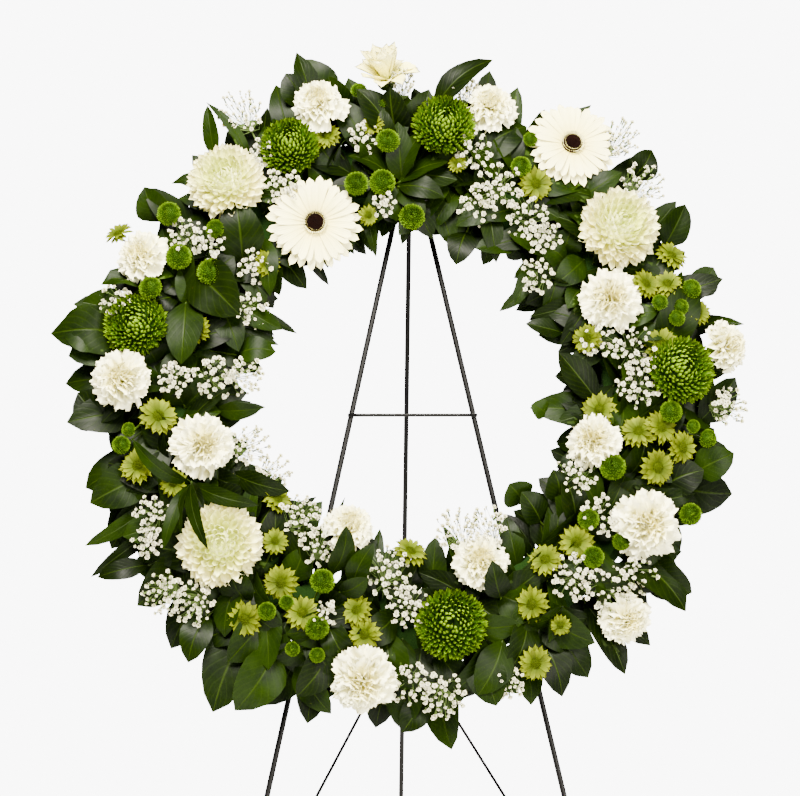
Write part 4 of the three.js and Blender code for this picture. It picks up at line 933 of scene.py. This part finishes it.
leaf_top = leaf_material(
    "leaf_top", (0.0006, 0.0022, 0.0), (0.0042, 0.0098, 0.0), rib=(0.014, 0.026, 0.0008),
    roughness=0.27, gloss=0.045)
leaf_under = leaf_material(
    "leaf_under", (0.006, 0.013, 0.001), (0.017, 0.03, 0.004), rib=(0.03, 0.05, 0.01),
    roughness=0.5, gloss=0.05, under=True)
green_stem = plain_material(
    "green_stem", (0.008, 0.02, 0.001), (0.03, 0.05, 0.003), scale=150, roughness=0.5, gloss=0.1)
breath_stem = plain_material(
    "breath_stem", (0.04, 0.07, 0.012), (0.1, 0.15, 0.04), scale=150, roughness=0.6, gloss=0.1)
# In each petal material below, the first colour is the root's, darker partly as painted shade
# between the crowded petals.
gerbera_ray = petal_material(
    "gerbera_ray", (0.78, 0.66, 0.16), (0.88, 0.82, 0.34), (0.94, 0.89, 0.48), streak=4)
gerbera_eye = plain_material(
    "gerbera_eye", (0.001, 0.0003, 0.0001), (0.009, 0.0018, 0.0008), scale=700, roughness=0.6,
    gloss=0.04)
football_ray = petal_material(
    "football_ray", (0.5, 0.52, 0.03), (0.93, 0.88, 0.36), (0.99, 0.96, 0.62), streak=3,
    inner=(0.62, 0.7, 0.06))
quill_green = petal_material(
    "quill_green", (0.004, 0.017, 0.0), (0.035, 0.09, 0.0005), (0.17, 0.28, 0.003), streak=2,
    varied=(0.75, 1.2), sheen=0.0, gloss=0.06)
quill_dark = plain_material(
    "quill_dark", (0.002, 0.008, 0.0), (0.006, 0.02, 0.0003), scale=300, roughness=0.7,
    gloss=0.04)
button_green = petal_material(
    "button_green", (0.006, 0.02, 0.0), (0.035, 0.085, 0.0005), (0.12, 0.21, 0.002), streak=2,
    varied=(0.8, 1.15), sheen=0.0, gloss=0.06)
button_core = plain_material(
    "button_core", (0.008, 0.024, 0.0003), (0.02, 0.05, 0.0008), scale=400, roughness=0.7,
    gloss=0.05)
carnation_white = petal_material(
    "carnation_white", (0.85, 0.68, 0.15), (0.93, 0.89, 0.46), (0.97, 0.95, 0.66), streak=6,
    inner=(0.93, 0.86, 0.32))
top_cream = petal_material(
    "top_cream", (0.5, 0.5, 0.03), (0.9, 0.84, 0.22), (0.95, 0.9, 0.42), streak=5)
daisy_ray = petal_material(
    "daisy_ray", (0.02, 0.035, 0.0), (0.055, 0.075, 0.0004), (0.13, 0.155, 0.002), streak=4,
    varied=(0.55, 1.25), sheen=0.0, gloss=0.06)
daisy_eye = plain_material(
    "daisy_eye", (0.015, 0.03, 0.0002), (0.05, 0.065, 0.0005), scale=600, roughness=0.7,
    gloss=0.05)
breath_white = petal_material(
    "breath_white", (0.45, 0.45, 0.16), (0.85, 0.82, 0.58), (0.93, 0.91, 0.74), streak=2)
black_paint = plain_material(
    "black_paint", (0.001, 0.001, 0.001), (0.003, 0.003, 0.003), scale=400, roughness=0.4,
    gloss=0.1, bump=0.0001)
foam_green = plain_material(
    "foam_green", (0.002, 0.008, 0.001), (0.008, 0.022, 0.003), scale=900, roughness=0.95,
    gloss=0.04, bump=0.0012)
backing_green = plain_material(
    "backing_green", (0.003, 0.009, 0.003), (0.009, 0.018, 0.006), scale=250, roughness=0.6,
    gloss=0.1)
floor_pale = plain_material(
    "floor_pale", (0.78, 0.78, 0.77), (0.84, 0.84, 0.83), scale=12, roughness=0.8, gloss=0.5)


# Blooms and sprays

# The makes of the heads with quills, the radii that small heads are made with before they are
# scaled, and where the top flower faces
SPIDER_QUILL = 0.48
SPIDER_HEAD = dict(height=26, count=340, width=3.6, pit=12, base=4)
BUTTON_RADIUS = 14
BUTTON_HEAD = dict(height=15, count=260, quill=4.6, width=1.9, pit=3, base=0, splay=8, curl=36,
                   rows=4)
DAISY_RADIUS = 20
TOP_AIM = np.array([-0.15, 0.75, 0.62])

# How a cloud of tiny flowers fills out: its flowers for each millimetre of its radius, the share
# of its radius that they reach, and a flower's least and greatest radius
CLOUD_FLOWERS = 2.1
CLOUD_REACH = 1.1
CLOUD_FLOWER_RADII = (1.6, 3.4)


def spider_head(radius):
    """A green head of long quills."""
    return quilled_head(radius, quill=radius * SPIDER_QUILL, **SPIDER_HEAD)


def bloom(name, row, head, materials, base=0, direction=None):
    """A head on its stem, standing in the foam. base is the height of the head's underside."""
    x, y, across, rise = row
    aim = facing(x, y, bloom_tilt(x, y, across)) if direction is None else unit(direction)
    origin = np.array([x, y, mat_height(x, y) + rise])
    skin = Skin()
    skin.stamp(head(across / 2), turn_to(aim, x), origin)
    foot = nearest_foot(x, y)
    neck = origin + aim * (base - 4)
    knee = np.array([foot[0], foot[1], FOAM_FRONT + 7])
    stem = smooth_path([foot, knee, neck, neck + aim * 8])
    skin.grid(tube(stem, STEM_RADIUS, 7), STEM, 0.5, closed=True)
    make(f"{name}_flower", skin, materials, name)


def blooms():
    """Every large flower."""
    kinds = [
        ("gerbera", GERBERAS, gerbera_head, gerbera_ray, gerbera_eye, "cream_petal", 0),
        ("football_mum", FOOTBALL_MUMS, football_head, football_ray, football_ray,
         "cream_petal", 0),
        ("spider_mum", SPIDER_MUMS, spider_head, quill_green, quill_dark, "green_petal", 0),
        ("carnation", CARNATIONS, carnation_head, carnation_white, carnation_white,
         "white_petal", -10),
    ]
    for kind, rows, head, ray, core, slot, base in kinds:
        for index, row in enumerate(rows):
            bloom(f"{kind}_{index + 1:02d}", row, head, [ray, core, green_stem], base)
    bloom("top_flower", TOP_FLOWER, top_head, [top_cream, daisy_eye, green_stem],
          direction=TOP_AIM)


def branch(skin, fork, end, aim):
    """A thin bent branch from a spray's fork to the underside of a head."""
    low = fork + (end - fork) * 0.45
    low[2] = max(FOAM_FRONT + 4, min(fork[2] + 3, end[2] - 8))
    path = smooth_path([fork, low, end - aim * 5, end], 3)
    skin.grid(tube(path, BRANCH_RADIUS, 4), STEM, 0.5, closed=True)


def small_spray(kind, rows, shares, heads, spread, rise, materials):
    """Sprays of small heads, each on its own branch of the spray's stem.

    spread is how much the heads' directions vary, and rise how far they stand out of the mat.
    """
    groups = {number: [] for _, number in shares}
    for row in rows:
        groups[share_of(row[0], row[1], shares)].append(row)
    for number, members in groups.items():
        skin = Skin()
        middle = np.mean([[x, y] for x, y, _ in members], 0)
        middle_angle = math.atan2(middle[1], middle[0])
        for x, y, across in members:
            aim = unit(facing(x, y) + rng.normal(0, spread, 3) * [1, 1, 0.2])
            origin = np.array([x, y, mat_height(x, y) + rise])
            head = heads[rng.integers(len(heads))]
            skin.stamp(head, turn_to(aim, rng.uniform(0, 6.28)), origin, across / 2, rng.random())
            swing = (math.atan2(y, x) - middle_angle + math.pi) % TURN - math.pi
            fork = polar(RING_MIDDLE, middle_angle + swing * 0.75, FOAM_FRONT - 3)
            branch(skin, fork, origin, aim)
        make(f"{kind}_{number}_heads", skin, materials, f"{kind}_{number}")


def breath_sprays():
    """Clouds of tiny white flowers on hair-thin branches."""
    heads = [breath_head(1.0) for _ in range(4)]
    groups = {number: Skin() for _, number in BREATH_SHARES}
    for x, y, radius in BREATH:
        skin = groups[share_of(x, y, BREATH_SHARES)]
        foot = nearest_foot(x, y)
        fork = np.array([x, y, 0]) * 0.7 + foot * [0.3, 0.3, 0] + UP * (FOAM_FRONT + 12)
        skin.grid(tube([foot, fork], 0.9, 4), STEM, 0.5, closed=True)
        count = radius * CLOUD_FLOWERS
        for i in range(int(count)):
            angle = i * GOLDEN + rng.uniform(-0.3, 0.3)
            away = radius * CLOUD_REACH * math.sqrt((i + 0.5) / count)
            place = np.array([x + away * math.cos(angle), y + away * math.sin(angle), 0.0])
            height = mat_height(place[0], place[1]) + rng.uniform(-6, 22)
            place[2] = max(height, FOAM_FRONT + 14)
            aim = unit(place - fork + UP * 36 + rng.normal(0, 8, 3))
            size = rng.uniform(*CLOUD_FLOWER_RADII)
            head = heads[rng.integers(len(heads))]
            skin.stamp(head, turn_to(aim, rng.uniform(0, 6.28)), place, size, rng.random())
            bend = fork + (place - fork) * 0.5 + rng.normal(0, 2.5, 3)
            hair = tube([fork, bend, place - aim * 1.5], [0.36, 0.28, 0.22], 3, ends=False)
            skin.grid(hair, STEM, 0.6, closed=True)
    for number, skin in groups.items():
        make(f"babys_breath_{number}_flowers", skin, [breath_white, breath_white, breath_stem],
             f"babys_breath_{number}")


def scaled_down(head, radius):
    """A head made smaller, so that its radius is 1."""
    head.points = [points / radius for points in head.points]
    return head


def sprays():
    """Every spray of small heads."""
    daisies = [scaled_down(daisy_head(DAISY_RADIUS), DAISY_RADIUS) for _ in range(4)]
    buttons = [scaled_down(quilled_head(BUTTON_RADIUS, **BUTTON_HEAD), BUTTON_RADIUS)
               for _ in range(3)]
    small_spray("daisy_spray", DAISIES, DAISY_SHARES, daisies, spread=0.24, rise=4,
                materials=[daisy_ray, daisy_eye, green_stem])
    small_spray("button_spray", BUTTONS, BUTTON_SHARES, buttons, spread=0.12, rise=7,
                materials=[button_green, button_core, green_stem])
    breath_sprays()


# Easel

# Millimetres, but for LEG_SPREAD, which is how far a leg goes sideways for each millimetre down.
# A DROP is a distance down the legs from where they would meet.
LEG_SPREAD = 0.2232
EASEL_SHIFT = np.array([10.0, 0.0, 0.0])
FRAME_LENGTH = 1352
LEG_RADIUS = 3.1
LEG_TOP_DROP = 28
PIVOT_DROP = 32
PIVOT_HALF = 17
CROSSBAR_DROP = 318
CROSSBAR_RADIUS = 1.9
CROSSBAR_OVERHANG = 4
HOOK_DROP = APEX - RING_INNER + 8
HOOK_RADIUS = 2.0
HOOK_FRONT = FOAM_FRONT + 14
HOOK_RISE = 4
WIRE_GAP = 0.3
WIRE_SIDES = 16
BACK_LEAN = math.radians(16)
BACK_LEG_RADIUS = 2.8
BACK_EYE = 6.7
STAY_PIN_DROP = 905
STAY_REACH = 434.9
STAY_BEND = 6
STAY_RADIUS = 1.7
STAY_EYE = 3.7
STAY_EYE_WIRE = 1.4

# The opened back leg's direction, and the direction square to it
LEG_DOWN = np.array([0, math.sin(BACK_LEAN), -math.cos(BACK_LEAN)])
LEG_OUT = np.array([0, math.cos(BACK_LEAN), math.sin(BACK_LEAN)])


def on_frame(x, drop, z):
    """A point by its distance down the legs from where they would meet."""
    return np.array([x, APEX - drop, z], float)


def wire(node, path, radius, body=WREATH, leaning=True, welds=()):
    """The painted wire of a CAD node along its path, with beads of weld on it."""
    skin = Skin()
    skin.grid(tube(path + EASEL_SHIFT, radius, WIRE_SIDES), luck=0.5, closed=True)
    for place in welds:
        bead = turned([[0.2, -2.4], [2.2, -1.6], [3.0, 0], [2.2, 1.6], [0.2, 2.4]], 12)
        skin.grid(bead + place + EASEL_SHIFT, luck=0.5, closed=True)
    make(f"{node}_wire", skin, [black_paint], node, body, leaning)


def ring_path(centre, radius, start, end, steps=20):
    """Points round a circle that stands square to x."""
    angles = np.radians(np.linspace(start, end, steps))
    return np.array([centre + np.array([0, math.cos(a), math.sin(a)]) * radius for a in angles])


def easel():
    """The wire pieces, finer than their solids and in the same places."""
    for side, name in ((-1, "left_front_leg"), (1, "right_front_leg")):
        ends = [on_frame(side * LEG_SPREAD * drop, drop, 0)
                for drop in (LEG_TOP_DROP, FRAME_LENGTH - 1)]
        wire(name, np.linspace(*ends, 12), LEG_RADIUS)
    half = LEG_SPREAD * CROSSBAR_DROP
    bar_z = LEG_RADIUS + WIRE_GAP + CROSSBAR_RADIUS
    bar = [on_frame(side * (half + CROSSBAR_OVERHANG), CROSSBAR_DROP, bar_z) for side in (-1, 1)]
    wire("crossbar", np.linspace(*bar, 8), CROSSBAR_RADIUS,
         welds=[on_frame(side * half, CROSSBAR_DROP, LEG_RADIUS) for side in (-1, 1)])
    pivot = to_world(on_frame(0, PIVOT_DROP, -2 * LEG_RADIUS - WIRE_GAP))
    bar_end = np.array([PIVOT_HALF, 0, 0])
    wire("pivot_bar", np.array([pivot - bar_end, pivot, pivot + bar_end]), LEG_RADIUS,
         leaning=False)
    hook()
    back_leg(pivot)
    stay(pivot)


def hook():
    """The prong that the ring's inner edge hangs on, welded to both legs."""
    half = LEG_SPREAD * HOOK_DROP
    root = LEG_RADIUS + WIRE_GAP
    path = [on_frame(side * (half - inset), HOOK_DROP - rise, z) for side, inset, rise, z in [
        (-1, 0, 0, root), (-1, 0, 0, 30), (-1, 0, 0, HOOK_FRONT - 8),
        (-1, 5, HOOK_RISE, HOOK_FRONT), (1, 5, HOOK_RISE, HOOK_FRONT),
        (1, 0, 0, HOOK_FRONT - 8), (1, 0, 0, 30), (1, 0, 0, root)]]
    wire("wreath_hook", smooth_path(path), HOOK_RADIUS,
         welds=[on_frame(side * half, HOOK_DROP, root + 1) for side in (-1, 1)])


def back_leg(pivot):
    """The back leg, whose top is bent into an eye round the pivot bar."""
    angles = np.radians(np.linspace(-325, 0, 26))
    eye = [pivot + BACK_EYE * (math.cos(a) * LEG_OUT + math.sin(a) * LEG_DOWN) for a in angles]
    length = (pivot[2] + BACK_EYE * math.sin(BACK_LEAN) - 1) / math.cos(BACK_LEAN)
    foot = pivot + BACK_EYE * LEG_OUT + LEG_DOWN * length
    path = np.concatenate([eye, np.linspace(eye[-1] + LEG_DOWN * 20, foot, 12)])
    wire("back_leg", path, BACK_LEG_RADIUS, "back_leg", leaning=False)


def stay(pivot):
    """The V of thin wire that holds the back leg, and the two eyes that it turns in."""
    eye_x = LEG_SPREAD * STAY_PIN_DROP
    eye_z = -(LEG_RADIUS + WIRE_GAP + STAY_EYE + STAY_EYE_WIRE)
    pin = to_world(on_frame(0, STAY_PIN_DROP, eye_z))
    line = pivot + LEG_OUT * BACK_EYE - pin
    along = float(line @ LEG_DOWN)
    square = float(line @ line) - along * along
    aim = unit(line + LEG_DOWN * (-along - math.sqrt(STAY_REACH ** 2 - square)))
    start = STAY_REACH - STAY_BEND + STAY_RADIUS + BACK_LEG_RADIUS + 1
    right = [pin + aim * t + [x, 0, 0] for x, t in
             [(eye_x + 6, 0), (eye_x - 6, 0), (eye_x - 8.4, 1.2), (eye_x - 9.6, 4)]]
    right = right + [pin + aim * t + [x, 0, 0] for x, t in zip(
        np.linspace(eye_x - 12, STAY_BEND, 8), np.linspace(10, start, 8))]
    turn = [pin + aim * (start + STAY_BEND * math.sin(a)) + [STAY_BEND * math.cos(a), 0, 0]
            for a in np.linspace(0.25, math.pi - 0.25, 9)]
    left = [point * [-1, 1, 1] for point in reversed(right)]
    wire("stay", np.array(right + turn + left), STAY_RADIUS, "stay", leaning=False)
    for side, name in ((-1, "left_stay_eye"), (1, "right_stay_eye")):
        centre = pin + [side * eye_x, 0, 0]
        wire(name, ring_path(centre, STAY_EYE, 60, 405), STAY_EYE_WIRE, leaning=False)


# Light, floor and camera

# The softboxes, in metres and watts: name, place, width and power
SOFTBOXES = [
    ("key", (-0.5, -2.2, 3.1), 1.3, 780),
    ("fill", (1.6, -2.6, 1.6), 1.6, 260),
    ("back", (0.9, 2.6, 2.4), 1.6, 240),
]
SOFTBOX_COLOUR = (1.0, 0.95, 0.84)
LIGHT_TARGET = (0, -0.16, 1.05)

# The white room's strength, to the camera and to everything else
ROOM_SEEN = 9.0
ROOM_LIGHT = 0.25
FLOOR_RADIUS = 2200


def softbox(name, place, size, power):
    """A square, slightly warm light that points at the wreath."""
    lamp = bpy.data.lights.new(name, "AREA")
    lamp.color = SOFTBOX_COLOUR
    lamp.size = size
    lamp.energy = power
    holder = bpy.data.objects.new(name, lamp)
    bpy.context.collection.objects.link(holder)
    holder.location = place
    holder.rotation_euler = direction_angles(np.array(LIGHT_TARGET) - np.array(place))


def direction_angles(direction):
    """Turns that point an object's -z along a direction, with its y up."""
    x, y, z = unit(np.asarray(direction, float))
    return (math.acos(max(-1.0, min(1.0, -z))), 0.0, math.atan2(-x, y))


def studio():
    """A white room with soft light from three sides."""
    world = bpy.data.worlds.new("studio")
    bpy.context.scene.world = world
    world.use_nodes = True
    nodes, links = world.node_tree.nodes, world.node_tree.links
    shown = nodes["Background"]
    unseen = nodes.new("ShaderNodeBackground")
    for room, strength in ((shown, ROOM_SEEN), (unseen, ROOM_LIGHT)):
        room.inputs["Color"].default_value = (1, 1, 1, 1)
        room.inputs["Strength"].default_value = strength
    rays = nodes.new("ShaderNodeLightPath")
    blend = nodes.new("ShaderNodeMixShader")
    links.new(rays.outputs["Is Camera Ray"], blend.inputs[0])
    links.new(unseen.outputs[0], blend.inputs[1])
    links.new(shown.outputs[0], blend.inputs[2])
    links.new(blend.outputs[0], nodes["World Output"].inputs[0])
    for row in SOFTBOXES:
        softbox(*row)


def floor():
    """A round pale floor under the feet."""
    skin = Skin()
    skin.grid(turned([[0.01, 0], [FLOOR_RADIUS / 2, 0], [FLOOR_RADIUS, 0]], 64), luck=0.5,
              closed=True)
    points = np.concatenate(skin.points)
    mesh = bpy.data.meshes.new("floor")
    mesh.from_pydata((points / 1000).tolist(), [], np.concatenate(skin.quads).tolist())
    mesh.materials.append(floor_pale)
    ground = bpy.data.objects.new("floor", mesh)
    bpy.context.collection.objects.link(ground)


def camera():
    """Level with the ring's middle, a little from the viewer's left, as in the photograph."""
    target = to_world(np.array([0.0, 0.0, CAMERA_AIM])) / 1000
    back = np.array([math.sin(CAMERA_TURN), -math.cos(CAMERA_TURN), 0])
    data = bpy.data.cameras.new("camera")
    data.sensor_width = 36
    data.lens = 36 * FOCAL_PIXELS / PHOTO_SIZE[0]
    data.shift_x = -(PHOTO_MIDDLE[0] - PHOTO_SIZE[0] / 2) / PHOTO_SIZE[0]
    data.shift_y = -(PHOTO_SIZE[1] / 2 - PHOTO_MIDDLE[1]) / PHOTO_SIZE[0]
    holder = bpy.data.objects.new("camera", data)
    bpy.context.collection.objects.link(holder)
    holder.location = target + back * CAMERA_DISTANCE
    holder.rotation_euler = direction_angles(-back)
    bpy.context.scene.camera = holder


def dress(node, material):
    """Gives a CAD node that stays its finer material."""
    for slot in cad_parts[node].material_slots:
        slot.material = material


dress("foam_ring", foam_green)
dress("ring_backing", backing_green)
foliage()
blooms()
sprays()
easel()
floor()
studio()
camera()
